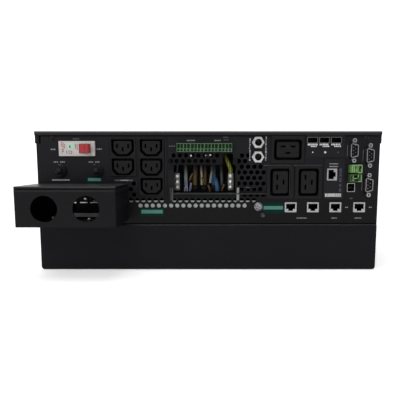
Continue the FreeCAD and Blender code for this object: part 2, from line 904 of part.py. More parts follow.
def breaker_toggle():
    """Barrel and lever of the breaker, leaning towards its closed side."""
    pivot = toggle_pivot()
    barrel = rod(toggle_radius, pivot.x, pivot.y, pivot.z - toggle_height / 2, V(0, 0, 1), toggle_height)
    half = toggle_lever / 2
    points = [
        V(pivot.x - half * 1.5, pivot.y, pivot.z - toggle_height / 2),
        V(pivot.x + half * 1.5, pivot.y, pivot.z - toggle_height / 2),
        V(pivot.x + half, pivot.y - toggle_reach, pivot.z - toggle_height / 2),
        V(pivot.x - half, pivot.y - toggle_reach, pivot.z - toggle_height / 2),
    ]
    lever = plate(rounded_wire(points, [0, 0, half * 0.8, half * 0.8]), [], V(0, 0, toggle_height))
    lever.rotate(pivot, V(0, 0, 1), toggle_lean)
    return [barrel.fuse(lever).removeSplitter()]


def reset_breaker(x):
    """Thermal breaker held by a round nut, with a bore for its button."""
    bore = reset_button_radius + reset_bore_gap
    bush = rod(reset_bush_radius, x, rear - reset_bush_proud, reset_z, V(0, 1, 0), reset_bush_proud + sheet)
    nut = rod(reset_nut_radius, x, rear - reset_nut_height, reset_z, V(0, 1, 0), reset_nut_height)
    nut = nut.makeChamfer(0.8, [nut.Edges[2]])
    body = block(x, reset_z, reset_body_width, reset_body_height, inside, inside + reset_body_depth, 1.0)
    hole = rod(bore, x, rear - reset_bush_proud - 1, reset_z, V(0, 1, 0), reset_bush_proud + sheet + 9)
    return bush.multiFuse([nut, body]).cut(hole).removeSplitter()


def reset_button(x):
    """Push button with a domed cap."""
    tip = -reset_bush_proud - reset_button_proud
    dome = reset_button_proud * 0.3
    cap = (reset_button_radius ** 2 + dome ** 2) / (2 * dome)
    half = math.asin(reset_button_radius / cap) / 2
    points = [
        V(0, sheet + 7, 0),
        V(reset_button_radius, sheet + 7, 0),
        V(reset_button_radius, tip + dome, 0),
        V(0, tip, 0),
    ]
    edges = [
        Part.LineSegment(points[0], points[1]).toShape(),
        Part.LineSegment(points[1], points[2]).toShape(),
        Part.Arc(points[2], V(cap * math.sin(half), tip + cap - cap * math.cos(half), 0), points[3]).toShape(),
        Part.LineSegment(points[3], points[0]).toShape(),
    ]
    solid = Part.Face(Part.Wire(edges)).revolve(V(0, 0, 0), V(0, 1, 0), 360)
    solid.translate(V(x, rear, reset_z))
    return [solid]


def strip_height(count):
    """Height of an outlet strip."""
    return (count - 1) * outlet_spacing_z + outlet_hole_height + 2 * outlet_strip_margin


def outlet_outline(x, z, width, height, chamfer, y):
    """Outlet opening, its two lower corners cut away."""
    half_w = width / 2
    half_h = height / 2
    points = [
        V(x - half_w, y, z + half_h),
        V(x - half_w, y, z - half_h + chamfer),
        V(x - half_w + chamfer, y, z - half_h),
        V(x + half_w - chamfer, y, z - half_h),
        V(x + half_w, y, z - half_h + chamfer),
        V(x + half_w, y, z + half_h),
    ]
    corner = chamfer * outlet_corner / outlet_chamfer
    return rounded_wire(points, [1.5, corner, corner, corner, corner, 1.5])


def small_slots(x, z):
    """Centres of the three contact slots of a small outlet."""
    return [V(x - slot_side, 0, z + slot_rise), V(x + slot_side, 0, z + slot_rise), V(x, 0, z - slot_rise)]


def outlet_strip(x, count):
    """Moulded strip of outlets, each with a groove round its core and three slots."""
    y0 = rear - outlet_plate_proud
    z1 = strip_top
    z0 = z1 - strip_height(count)
    flange = edged(block(x, (z0 + z1) / 2, outlet_strip_width, z1 - z0, y0, rear, 1.5), y0)
    depth = inside + outlet_depth
    body = block(x, (z0 + z1) / 2, outlet_hole_width + 2, z1 - z0 - 4.4, rear, depth)
    solid = flange.fuse(body)
    for i in range(count):
        z = level(outlet_row_drop) - i * outlet_spacing_z
        outer = outlet_outline(x, z, outlet_hole_width, outlet_hole_height, outlet_chamfer, y0 - 1)
        inset = 2 * outlet_groove
        core = outlet_outline(x, z, outlet_hole_width - inset, outlet_hole_height - inset, outlet_chamfer - 1.1, y0 - 1)
        solid = solid.cut(plate(outer, [core], V(0, outlet_groove_depth + 1, 0)))
        for place in small_slots(x, z):
            solid = solid.cut(block(place.x, place.z, slot_wide, slot_long, y0 - 1, y0 + slot_depth))
    return [solid.removeSplitter()]


def large_outlet(x, z, upright):
    """Single large outlet with a snap-in plate, turned on its side where it stands upright."""
    y0 = rear - outlet_plate_proud
    depth = inside + outlet_depth
    flange = edged(block(0, 0, large_plate_width, large_plate_height, y0, rear, 2.0), y0)
    body = block(0, 0, large_hole_width + 3, large_hole_height + 3, rear, depth)
    solid = flange.fuse(body)
    outer = rear_rectangle(-large_hole_width / 2, large_hole_width / 2, -large_hole_height / 2, large_hole_height / 2, y0 - 1, large_corner)
    half_w = large_hole_width / 2 - large_groove
    half_h = large_hole_height / 2 - large_groove
    core = rear_rectangle(-half_w, half_w, -half_h, half_h, y0 - 1, large_corner - 1)
    solid = solid.cut(plate(outer, [core], V(0, outlet_groove_depth + 1, 0)))
    for place in large_slots():
        solid = solid.cut(block(place.x, place.z, slot_long + 1.2, slot_wide, y0 - 1, y0 + slot_depth))
    solid = solid.removeSplitter()
    place_large(solid, x, z, upright)
    return solid


def large_outlets():
    """Three large outlets: one lying above, two standing on their sides below."""
    places = ((large_top_x, large_top_z, False), (large_x[0], large_z, True), (large_x[1], large_z, True))
    return [large_outlet(x, z, upright) for x, z, upright in places]


def large_slots():
    """Centres of the three slots of a large outlet about its own centre."""
    return [
        V(-large_slot_side, 0, large_slot_rise),
        V(large_slot_side, 0, large_slot_rise),
        V(0, 0, -large_slot_rise),
    ]


def place_large(solid, x, z, upright):
    """Carries a large outlet or its contact to its place."""
    if upright:
        solid.rotate(V(0, 0, 0), V(0, 1, 0), -90)
    solid.translate(V(x, 0, z))


def contact(x, z, width, height):
    """Spring contact folded to a U, seated at the end of its slot."""
    end = rear - outlet_plate_proud + slot_depth
    leaf = 0.4
    reach = contact_reach
    if height > width:
        points = [V(x - width / 2, end - reach, z), V(x - width / 2, end, z), V(x + width / 2, end, z), V(x + width / 2, end - reach, z)]
        clip = folded(points, leaf, 0.1, V(0, 0, -height * 0.8))
        clip.translate(V(0, 0, height * 0.4))
        return clip
    points = [V(x, end - reach, z - height / 2), V(x, end, z - height / 2), V(x, end, z + height / 2), V(x, end - reach, z + height / 2)]
    clip = folded(points, leaf, 0.1, V(width * 0.8, 0, 0))
    clip.translate(V(-width * 0.4, 0, 0))
    return clip


def outlet_contacts():
    """Brass contacts of all the outlets."""
    clips = []
    for x, count in ((strip_a_x, 2), (strip_b_x, 3)):
        for i in range(count):
            for place in small_slots(x, level(outlet_row_drop) - i * outlet_spacing_z):
                clips.append(contact(place.x, place.z, slot_wide, slot_long))
    for x, z, upright in ((large_top_x, large_top_z, False), (large_x[0], large_z, True), (large_x[1], large_z, True)):
        for place in large_slots():
            clip = contact(place.x, place.z, slot_long + 1.2, slot_wide)
            place_large(clip, x, z, upright)
            clips.append(clip)
    return clips


def terminal_shelf():
    """Wiring shelf: a floor with a lip along the panel, two sides and a back."""
    floor_z = window_z0 + 0.4
    y1 = inside + terminal_shelf_depth
    lip = box(window_x0 + fit_gap, field_right, rear - terminal_shelf_reach, rear - 0.1, floor_z, floor_z + sheet)
    notch_x = bracket_places()[1]
    lip = lip.cut(box(notch_x - fit_gap, notch_x + bracket_width + fit_gap, rear - bracket_thick - fit_gap, rear, floor_z - 1, floor_z + 2))
    neck = box(window_x0 + fit_gap, window_x1 - fit_gap, rear - terminal_shelf_reach, inside + 1, floor_z, floor_z + sheet)
    z1 = level(terminal_back_drop)
    y0 = inside + 0.5
    floor = box(bay_x0, bay_x1, y0, y1, floor_z, floor_z + sheet)
    back = box(bay_x0, bay_x1, y1 - sheet, y1, floor_z, z1)
    side_a = box(bay_x0, bay_x0 + sheet, y0, y1, floor_z, z1)
    side_b = box(bay_x1 - sheet, bay_x1, y0, y1, floor_z, z1)
    return [floor.multiFuse([lip, neck, back, side_a, side_b]).removeSplitter()]


def pole_places():
    """X of each wiring pole."""
    width = bay_x1 - bay_x0 - 2 * sheet - 2 * fit_gap - 1
    step = width / pole_count
    start = bay_x0 + sheet + fit_gap + 0.5 + step / 2
    return [start + step * i for i in range(pole_count)]


def terminal_block():
    """Barrier block on the wiring shelf and the feed-through strip above its back."""
    places = pole_places()
    step = places[1] - places[0]
    floor_z = window_z0 + 0.4 + sheet
    y0 = inside + block_front
    x0 = places[0] - step / 2
    x1 = places[-1] + step / 2
    body = box(x0, x1, y0, y0 + block_depth, floor_z, floor_z + block_height)
    foot = box(x0, x1, y0 - 8, y0, floor_z, floor_z + 2)
    parts = [foot]
    for i in range(pole_count + 1):
        x = min(max(x0 + step * i, x0 + barrier_thick / 2), x1 - barrier_thick / 2)
        parts.append(box(x - barrier_thick / 2, x + barrier_thick / 2, y0 - 8, y0 + block_depth, floor_z, floor_z + barrier_height))
    block_solid = body.multiFuse(parts).removeSplitter()
    y1 = inside + terminal_shelf_depth
    z1 = level(terminal_back_drop)
    feed = box(x0, x1, y1 - feed_depth, y1 + 4, z1, z1 + feed_height)
    return [block_solid, feed]


def clamp_top(index):
    """Height of the clamp on one pole: full at both ends of the block, low between them."""
    full = index in (0, pole_count - 1)
    return window_z0 + 0.4 + sheet + 2 + (clamp_height if full else clamp_low_height)


def terminal_clamps():
    """Plated clamps: tall ones with three screw heads at the ends, low ones on the other poles."""
    floor_z = window_z0 + 0.4 + sheet + 2
    y1 = inside + block_front
    y0 = y1 - clamp_depth
    clamps = []
    for index, x in enumerate(pole_places()):
        z1 = clamp_top(index)
        clamp = box(x - clamp_width / 2, x + clamp_width / 2, y0, y1, floor_z, z1)
        count = 3 if z1 - floor_z > clamp_low_height else 1
        step = (z1 - floor_z) / count
        for i in range(count):
            z = floor_z + step * (i + 0.5)
            head = rod(clamp_screw_radius, x, y0 - clamp_screw_height, z, V(0, 1, 0), clamp_screw_height)
            slot = box(x - 0.5, x + 0.5, y0 - clamp_screw_height - 1, y0 - clamp_screw_height + 0.9, z - clamp_screw_radius - 1, z + clamp_screw_radius + 1)
            clamp = clamp.fuse(head.cut(slot))
        clamps.append(clamp.removeSplitter())
    return clamps


# Each wire: pole it stands on, radius, shift along X, lean along X and bow to the rear on its way up
wire_table = {
    "wires_blue": [(0, 1.9, 0.0, 1.5, 1.0), (4, 3.3, 1.4, -1.0, 2.6)],
    "wires_brown": [(2, 3.4, 0.0, 1.0, 2.2), (3, 2.4, 1.9, -0.3, 1.0)],
    "wires_grey": [(1, 2.6, 0.0, -1.0, 2.0), (3, 1.6, -3.0, -0.9, 3.2), (5, 2.3, 0.0, -1.2, 1.6)],
    "wires_earth": [(6, 2.8, 0.0, -6.6, 4.2)],
}


def wire_route(index, radius, shift, lean, bow):
    """Points of the wire on one pole, from its clamp up and back to the feed-through strip."""
    x = pole_places()[index] + shift
    y = inside + block_front - max(clamp_depth / 2, radius + fit_gap)
    z = clamp_top(index)
    end_y = inside + terminal_shelf_depth - feed_depth
    end_z = level(terminal_back_drop) + feed_height / 2
    rise = end_z - z
    return [
        V(x, y, z),
        V(x, y, z + rise * 0.2),
        V(x + lean * 0.4, y - bow, z + rise * 0.48),
        V(x + lean * 0.8, y + 2 - bow / 2, z + rise * 0.76),
        V(x + lean, y + 14, end_z),
        V(x + lean, end_y, end_z),
    ]


def wires(colour):
    """Wires of one colour."""
    return [cable(wire_route(pole, radius, *bend), radius) for pole, radius, *bend in wire_table[colour]]


def bracket_places():
    """Left edges of the two cover brackets, one on each side of the window."""
    return [window_x0 - bracket_width - bracket_gap, window_x1 + bracket_gap]


def cover_brackets():
    """Plated brackets at the window's lower corners that hold the wiring cover."""
    brackets = []
    z0 = window_z0 - bracket_below
    ear_z = window_z0 + 0.4 + sheet + fit_gap
    for x in bracket_places():
        foot = box(x, x + bracket_width, rear - bracket_thick, rear, z0, z0 + bracket_height)
        ear = box(x, x + bracket_thick, rear - bracket_reach, rear, ear_z, z0 + bracket_height)
        brackets.append(foot.fuse(ear).removeSplitter())
    bar_x1 = box_x1 - sheet - earth_bar_end_gap
    bar_z0 = box_bottom + sheet + box_flange - earth_bar_height + 1
    y1 = rear - sheet
    bar = box(bar_x1 - earth_bar_length, bar_x1, y1 - earth_bar_thick, y1, bar_z0, bar_z0 + earth_bar_height)
    return brackets + [bar]


def signal_header():
    """Fixed part of the signal strip behind the panel."""
    width = plug_count * plug_pitch
    return [block(plug_x, plug_z, width, plug_height, rear + fit_gap, inside + header_depth, 0.4)]


def signal_plug(index):
    """Four-pole pluggable terminal with wire entries over screw holes."""
    x = plug_x + (index - (plug_count - 1) / 2) * plug_pitch
    y0 = rear - plug_proud
    width = plug_pitch - plug_gap
    points = [
        V(x - width / 2, y0, plug_z - plug_height / 2),
        V(x - width / 2, y0, plug_z + plug_height / 2),
        V(x - width / 2, rear + fit_gap, plug_z + plug_height / 2),
        V(x - width / 2, rear + fit_gap, plug_z - plug_height / 2),
    ]
    solid = plate(rounded_wire(points, [0.8, 0.4, 0, 0]), [], V(width, 0, 0))
    for pole in range(4):
        px = x + (pole - 1.5) * pole_pitch
        solid = solid.cut(block(px, plug_z + entry_rise, entry_width, entry_height, y0 - 1, y0 + entry_depth))
        solid = solid.cut(rod(screw_hole_radius, px, y0 - 1, plug_z - screw_hole_fall, V(0, 1, 0), entry_depth))
    return [solid]


def sensor_socket(z):
    """Round plated socket held by a hexagon nut."""
    nut = hexagon(sensor_x, rear, z, sensor_across, sensor_nut, 0)
    bush = rod(sensor_bush_radius, sensor_x, rear - sensor_bush_proud, z, V(0, 1, 0), sensor_bush_proud + sheet)
    barrel = rod(sensor_bush_radius + 1.5, sensor_x, inside, z, V(0, 1, 0), sensor_depth)
    bore = rod(sensor_bore_radius, sensor_x, rear - sensor_bush_proud - 1, z, V(0, 1, 0), sensor_bush_proud + sensor_depth - 2)
    return bush.multiFuse([nut, barrel]).cut(bore).removeSplitter()


def mouth_tool(x, z, y0, depth, flip=1):
    """Outline of a network jack's mouth with its latch notch."""
    w = port_mouth_width / 2
    h = port_mouth_height / 2
    n = port_latch_width / 2
    d = port_latch_height
    shift = port_latch_height / 2
    points = [
        V(x - w, y0, z + flip * (h + shift)),
        V(x + w, y0, z + flip * (h + shift)),
        V(x + w, y0, z + flip * (shift - h)),
        V(x + n, y0, z + flip * (shift - h)),
        V(x + n, y0, z + flip * (shift - h - d)),
        V(x - n, y0, z + flip * (shift - h - d)),
        V(x - n, y0, z + flip * (shift - h)),
        V(x - w, y0, z + flip * (shift - h)),
    ]
    return plate(rounded_wire(points, [0] * 8), [], V(0, depth, 0))


def shielded_port(x, z, width, height):
    """Metal shield of a port, open to the rear."""
    y0 = rear - port_proud
    outer = block(x, z, width, height, y0, board_y, 0.6)
    inner = block(x, z, width - 2 * port_wall, height - 2 * port_wall, y0 - 1, board_y - port_wall, 0.3)
    return outer.cut(inner)


def network_shield():
    """Shield of a network port about its own centre, its face pierced by the mouth."""
    y0 = rear - port_proud
    outer = block(0, 0, port_width, port_height, y0, board_y, 0.6)
    inner = block(0, 0, port_width - 2 * port_wall, port_height - 2 * port_wall, y0 + port_face, board_y - port_wall, 0.3)
    return outer.cut(inner).cut(mouth_tool(0, 0, y0 - 1, port_face + 2))


def port_insert(x, z, width, height):
    """Plastic insert of a network port."""
    y0 = rear - port_proud + port_face
    solid = block(x, z, width - 2 * port_wall, height - 2 * port_wall, y0, board_y - port_wall, 0.3)
    return solid.cut(mouth_tool(x, z, y0 - 1, port_mouth_depth))


def network_ports():
    """Shields of the four network ports, and of the control card's jack that lies on its side."""
    row = []
    for x in port_x:
        shield = network_shield()
        shield.translate(V(x, 0, port_z))
        row.append(shield)
    turned = network_shield()
    turned.rotate(V(0, 0, 0), V(0, 1, 0), -90)
    turned.translate(V(control_x - jack_shift, 0, level(card_jack_drop)))
    return row + [turned]


def port_inserts():
    """Plastic inserts of the network ports, the card jack, the serial ports and the card ports."""
    solids = [port_insert(x, port_z, port_width, port_height) for x in port_x]
    turned = port_insert(0, 0, port_width, port_height)
    turned.rotate(V(0, 0, 0), V(0, 1, 0), -90)
    turned.translate(V(control_x - jack_shift, 0, level(card_jack_drop)))
    solids.append(turned)
    for place in serial_places:
        wire = serial_outline(place, -serial_plug_gap, rear - serial_shell_proud + 1.4)
        solids.append(plate(wire, [], V(0, serial_shell_proud - 1.4 + sheet + 3, 0)))
    usb_room = 2 * port_wall + fit_gap
    usb = socket_lining(usb_x, usb_z, usb_width - usb_room, usb_height - usb_room, rear - port_proud + 0.4, board_y - port_wall)
    tongue = block(usb_x, usb_z, 5.0, 3.2, rear + 1, board_y - port_wall - lining)
    solids.append(usb.fuse(tongue).removeSplitter())
    return solids


def socket_lining(x, z, width, height, y0, y1):
    """Thin black lining of a metal socket, closed at its back."""
    outer = block(x, z, width, height, y0, y1)
    return outer.cut(block(x, z, width - 2 * lining, height - 2 * lining, y0 - 1, y1 - lining))


def serial_outline(place, room, y):
    """Outline of a serial port: a rectangle whose right side is shorter, grown by some room."""
    half_w = serial_shell_width / 2 + room
    half_l = serial_shell_length / 2 + room
    points = [
        V(place.x - half_w, y, place.z - half_l),
        V(place.x + half_w, y, place.z - half_l + serial_shell_taper),
        V(place.x + half_w, y, place.z + half_l - serial_shell_taper),
        V(place.x - half_w, y, place.z + half_l),
    ]
    return rounded_wire(points, [1.8 + room] * 4)


def serial_ports():
    """Plated shells, flanges behind the panel and jack screws of the serial ports."""
    solids = []
    for place in serial_places:
        flange = rear_rectangle(place.x - serial_flange_width / 2, place.x + serial_flange_width / 2,
                                place.z - serial_flange_length / 2, place.z + serial_flange_length / 2, inside, 2.0)
        bore = serial_outline(place, fit_gap / 2 - serial_plug_gap, inside)
        holes = [rear_circle(place.x, place.z + side * serial_pitch / 2, inside, 1.65) for side in (-1, 1)]
        seat = plate(flange, [bore] + holes, V(0, serial_flange_thick, 0))
        start = rear - serial_shell_proud
        shell = plate(serial_outline(place, 0, start), [serial_outline(place, fit_gap / 2 - serial_plug_gap, start)],
                      V(0, serial_shell_proud + sheet, 0))
        back = block(place.x, place.z, serial_shell_width, serial_shell_length, inside + serial_flange_thick, board_y, 2.2)
        back = back.cut(plate(serial_outline(place, fit_gap / 2 - serial_plug_gap, inside), [], V(0, 3 + fit_gap, 0)))
        solids.append(seat.multiFuse([shell, back]).removeSplitter())
        for side in (-1, 1):
            z = place.z + side * serial_pitch / 2
            jack = hexagon(place.x, rear, z, jack_across, jack_height, 1.3)
            shank = rod(1.5, place.x, rear, z, V(0, 1, 0), 5)
            solids.append(jack.fuse(shank))
    return solids


def relay_plugs():
    """Two-pole pluggable terminals."""
    solids = []
    for z in relay_z:
        y0 = rear - plug_proud + 1
        solid = block(relay_x, z, relay_width, relay_height, y0, rear, 0.6)
        solid = solid.fuse(block(relay_x, z, relay_width - 2.4, relay_height - 2.4, rear, board_y))
        for side in (-1, 1):
            x = relay_x + 2.4 + side * 2.54
            solid = solid.cut(block(x, z + 1.6, 3.0, 4.0, y0 - 1, y0 + entry_depth))
            solid = solid.cut(rod(1.1, x, y0 - 1, z - 3.0, V(0, 1, 0), entry_depth))
        solids.append(solid.removeSplitter())
    return solids


def usb_device_socket():
    """Square shell of the device socket."""
    return [shielded_port(usb_x, usb_z, usb_width, usb_height)]


def network_card():
    """Card plate with three port openings, and its board."""
    y = rear - plate_thick
    outline = rear_rectangle(card_x - card_width / 2, card_x + card_width / 2, card_z - card_height / 2, card_z + card_height / 2, y, 0.8)
    holes = []
    for x in card_port_x:
        w = card_port_width / 2 + fit_gap
        h = card_port_height / 2 + fit_gap
        holes.append(rear_rectangle(x - w, x + w, card_port_z - h, card_port_z + h, y))
    face = plate(outline, holes, V(0, plate_thick, 0))
    z1 = card_port_z - card_port_height / 2
    board = box(card_x - card_width / 2 + 3, card_x + card_width / 2 - 3, rear, inside + card_board_depth, z1 - board_thick, z1)
    return [face, board]


def card_ports():
    """Three shielded ports on the network card."""
    solids = []
    for x in card_port_x:
        y0 = rear - plate_thick - 0.4
        outer = block(x, card_port_z, card_port_width, card_port_height, y0, inside + 12, 0.3)
        inner = block(x, card_port_z, card_port_width - 1.0, card_port_height - 1.0, y0 - 1, inside + 11)
        solids.append(outer.cut(inner))
    return solids


def control_card():
    """Upright card plate with openings for the host sockets and the jack."""
    y = rear - plate_thick
    outline = rear_rectangle(control_x - control_width / 2, control_x + control_width / 2,
                             control_z - control_height / 2, control_z + control_height / 2, y, 0.8)
    holes = []
    z = level(usb_pair_drop)
    w = usb_pair_width / 2 + fit_gap
    h = usb_pair_height / 2 + fit_gap
    holes.append(rear_rectangle(control_x - 1 - w, control_x - 1 + w, z - h, z + h, y))
    z = level(card_jack_drop)
    w = port_height / 2 + fit_gap
    h = port_width / 2 + fit_gap
    holes.append(rear_rectangle(control_x - jack_shift - w, control_x - jack_shift + w, z - h, z + h, y))
    return [plate(outline, holes, V(0, plate_thick, 0))]


def usb_host_sockets():
    """Stacked host sockets of the control card."""
    z = level(usb_pair_drop)
    y0 = rear - plate_thick - 0.4
    outer = block(control_x - 1, z, usb_pair_width, usb_pair_height, y0, board_y, 0.3)
    slot_height = usb_pair_height / 2 - 0.9
    for side in (-1, 1):
        mouth = block(control_x - 1, z + side * usb_pair_height / 4, usb_pair_width - 1.2, slot_height, y0 - 1, board_y - 1)
        tongue = block(control_x - 1, z + side * usb_pair_height / 4 + 0.6, usb_pair_width - 2.4, 0.8, y0 + 1, board_y)
        outer = outer.cut(mouth.cut(tongue))
    return [outer]


def control_board():
    """Stepped board that carries the ports behind the panel."""
    x1 = right - sheet - 3
    z0 = shelf_top + 2
    steps = [
        V(port_x[0] - port_width, board_y, z0),
        V(x1, board_y, z0),
        V(x1, board_y, level(5)),
        V(card_x + card_width / 2 + 1, board_y, level(5)),
        V(card_x + card_width / 2 + 1, board_y, control_z + control_height / 2),
        V(control_x - control_width / 2, board_y, control_z + control_height / 2),
        V(control_x - control_width / 2, board_y, control_z - control_height / 2),
        V(port_x[0] - port_width, board_y, control_z - control_height / 2),
    ]
    return [plate(rounded_wire(steps, [0] * 8), [], V(0, board_thick, 0))]


def board_components(kind):
    """Power board on its standoffs, or one kind of part on it."""
    y0 = rear + power_board_start
    z0 = shelf_top + standoff_height
    half = power_board_width / 2
    if kind == "board":
        solids = [box(-half, half, y0, y0 + power_board_length, z0, z0 + board_thick)]
        for x in (-half + 8, half - 8):
            for y in (y0 + 8, y0 + power_board_length / 2, y0 + power_board_length - 8):
                solids.append(rod(standoff_radius, x, y, shelf_top, V(0, 0, 1), standoff_height))
        return solids
    z1 = z0 + board_thick
    solids = []
    if kind == "sinks":
        fins = int(sink_width / sink_pitch)
        for x in (-half + sink_from_side, half - sink_from_side - sink_width):
            y1 = y0 + sink_from_end
            solid = box(x, x + sink_width, y1, y1 + sink_length, z1, z1 + 5)
            comb = [box(x + sink_pitch * i, x + sink_pitch * i + sink_fin, y1, y1 + sink_length, z1, z1 + sink_height)
                    for i in range(fins + 1) if i * sink_pitch + sink_fin <= sink_width]
            solids.append(solid.multiFuse(comb).removeSplitter())
    if kind == "capacitors":
        for i in range(3):
            for j in range(2):
                x = -capacitor_radius * 2.3 + i * capacitor_radius * 2.3
                y = y0 + 40 + j * capacitor_radius * 2.3
                can = rod(capacitor_radius, x, y, z1, V(0, 0, 1), capacitor_height)
                solids.append(can.makeFillet(1.5, [can.Edges[0]]))
    if kind == "chokes":
        for j in range(2):
            y = y0 + 180 + j * choke_radius * 2.4
            ring = Part.makeTorus(choke_radius - choke_core, choke_core, V(0, y, z1 + choke_core), V(0, 0, 1))
            foot = rod(choke_radius - choke_core, 0, y, z1, V(0, 0, 1), 3)
            solids.append(ring.fuse(foot))
    return solids


def fan_frames():
    """Square fan frames standing on the shelf, each with a spoked hub that carries the rotor."""
    solids = []
    for x in fan_x:
        inner = fan_size / 2 - 2
        frame = block(x, fan_z, fan_size, fan_size, fan_y, fan_y + fan_depth, 3.0)
        frame = frame.cut(rod(inner, x, fan_y - 1, fan_z, V(0, 1, 0), fan_depth + 2))
        hub = rod(fan_hub_radius, x, fan_y + fan_depth - 4, fan_z, V(0, 1, 0), 4)
        arms = [hub, rod(fan_spindle_radius, x, fan_y + 6, fan_z, V(0, 1, 0), fan_depth - 6)]
        for turn in (45, 135):
            arm = box(-inner - 1, inner + 1, fan_y + fan_depth - 4, fan_y + fan_depth, -2, 2)
            arm.rotate(V(0, 0, 0), V(0, 1, 0), turn)
            arm.translate(V(x, 0, fan_z))
            arms.append(arm)
        solids.append(frame.multiFuse(arms).removeSplitter())
    return solids


def fan_rotor(x):
    """Hub with pitched blades, turning on the frame's spindle."""
    y0 = fan_y + 3
    length = fan_depth - 10
    solid = rod(fan_hub_radius, x, y0, fan_z, V(0, 1, 0), length)
    reach = fan_size / 2 - 2 - fan_tip_gap
    for i in range(fan_blades):
        root = rear_rectangle(-1.0, 1.0, fan_hub_radius - 2, reach - 1, y0 + 2)
        tip = rear_rectangle(-1.0, 1.0, fan_hub_radius - 2, reach - 1, y0 + length - 2)
        tip.rotate(V(0, 0, 0), V(0, 1, 0), 28)
        blade = Part.makeLoft([root, tip], True, True)
        blade.rotate(V(0, 0, 0), V(0, 1, 0), i * 360 / fan_blades)
        blade.translate(V(x, 0, fan_z))
        solid = solid.fuse(blade)
    bore = rod(fan_spindle_radius + 0.05, x, y0 + 2, fan_z, V(0, 1, 0), length)
    return [solid.cut(bore).removeSplitter()]


def battery_packs():
    """Two sealed battery packs side by side under the shelf."""
    x_edge = right - sheet - pack_gap
    z1 = shelf_top - sheet - 1
    solids = []
    for x0, x1 in ((-x_edge, -pack_gap / 2), (pack_gap / 2, x_edge)):
        y1 = front - pack_from_front
        pack = box(x0, x1, y1 - pack_length, y1, sheet, z1)
        edges = [e for e in pack.Edges if abs(e.tangentAt(e.FirstParameter).z) > 0.9]
        solids.append(pack.makeFillet(3.0, edges))
    return solids


def front_plate():
    """Inner front sheet with a field of round vents before the fans."""
    x0 = left + sheet + fit_gap
    x1 = right - sheet - fit_gap
    y = front - sheet
    holes = []
    for x in fan_x:
        for i in range(-3, 4):
            for j in range(-3, 4):
                if math.hypot(i, j) < 3.5:
                    holes.append(rear_circle(x + i * 12, fan_z + j * 12, y, 4.5))
    wire = sheet_outline(x0, x1, shelf_top + fit_gap, top - sheet * 2 - fit_gap * 2, y)
    return [plate(wire, holes, V(0, sheet, 0))]


def battery_door():
    """Plain door before the batteries, with a turned-in upper edge."""
    x0 = left + sheet + fit_gap
    z0 = sheet + fit_gap
    z1 = shelf_top - sheet - fit_gap
    points = [V(x0 + 4, front, z0 + 3), V(x0 + 4, front, z1), V(x0 + 4, front - 10, z1)]
    return [folded(points, sheet, fold_bend, V(2 * (right - sheet - fit_gap - 4), 0, 0))]


def bezel():
    """Moulded front cover, hollow behind, with louvres and a cut-out for the display."""
    x1 = right + fit_gap + sheet
    y0 = front + fit_gap
    y1 = front + bezel_depth
    z0 = 1.0
    z1 = top - 0.5
    body = plate(rear_rectangle(-x1, x1, z0, z1, y0, bezel_corner), [], V(0, y1 - y0, 0))
    rim = [e for e in body.Edges if all(abs(v.Y - y1) < 0.01 for v in e.Vertexes)]
    body = body.makeFillet(bezel_edge * 2, rim)
    wall = bezel_wall
    inner = plate(rear_rectangle(-x1 + wall, x1 - wall, z0 + wall, z1 - wall, y0 - 1, bezel_corner - wall), [], V(0, y1 - y0 - wall + 1, 0))
    body = body.cut(inner)
    cutter = []
    for side in (-1, 1):
        centre = side * (louvre_from_centre + louvre_length / 2)
        for row in range(louvre_rows):
            z = 20 + louvre_pitch * row
            cutter.append(block(centre, z, louvre_length, louvre_height, y1 - wall - 2, y1 + 1, louvre_height / 2 - 0.01))
    cutter.append(block(0, display_z, display_width, display_height, y1 - wall - 2, y1 + 1, 3.0))
    return [body.cut(Part.makeCompound(cutter)).removeSplitter()]


def display_housing():
    """Display module behind the bezel's cut-out, with a window recess and two button holes."""
    y1 = front + bezel_depth
    back = y1 - bezel_wall - display_depth
    width = display_width - 2 * display_gap
    height = display_height - 2 * display_gap
    solid = block(0, display_z, width, height, back, y1 - 0.4, 2.7)
    flange = block(0, display_z, display_width + 2 * display_lip, display_height + 2 * display_lip, back, y1 - bezel_wall, 1.0)
    solid = solid.fuse(flange)
    solid = solid.cut(block(0, display_z + 8, window_width, window_height, y1 - 0.4 - window_depth, y1 + 1, 1.5))
    for x in button_x:
        solid = solid.cut(rod(button_radius + button_gap, x, y1 - 0.4 - button_depth, button_z, V(0, 1, 0), button_depth + 1))
    legs = []
    for x in (-display_width / 2 + 6, display_width / 2 - 6):
        legs.append(block(x, display_z, 8, 8, front, back))
    return [solid.multiFuse(legs).removeSplitter()]


def display_window():
    """Clear window in the display module."""
    y1 = front + bezel_depth - 0.4
    return [block(0, display_z + 8, window_width - 2 * fit_gap, window_height - 2 * fit_gap, y1 - window_depth, y1, 1.3)]


def front_button(x):
    """Round push button of the display module."""
    y1 = front + bezel_depth - 0.4
    cap = rod(button_radius, x, y1 - button_depth + 2.0, button_z, V(0, 1, 0), button_depth - 2.0 + button_proud)
    rim = [e for e in cap.Edges if all(abs(v.Y - (y1 + button_proud)) < 0.01 for v in e.Vertexes) and e.Length > 20]
    return [cap.makeFillet(0.8, rim)]


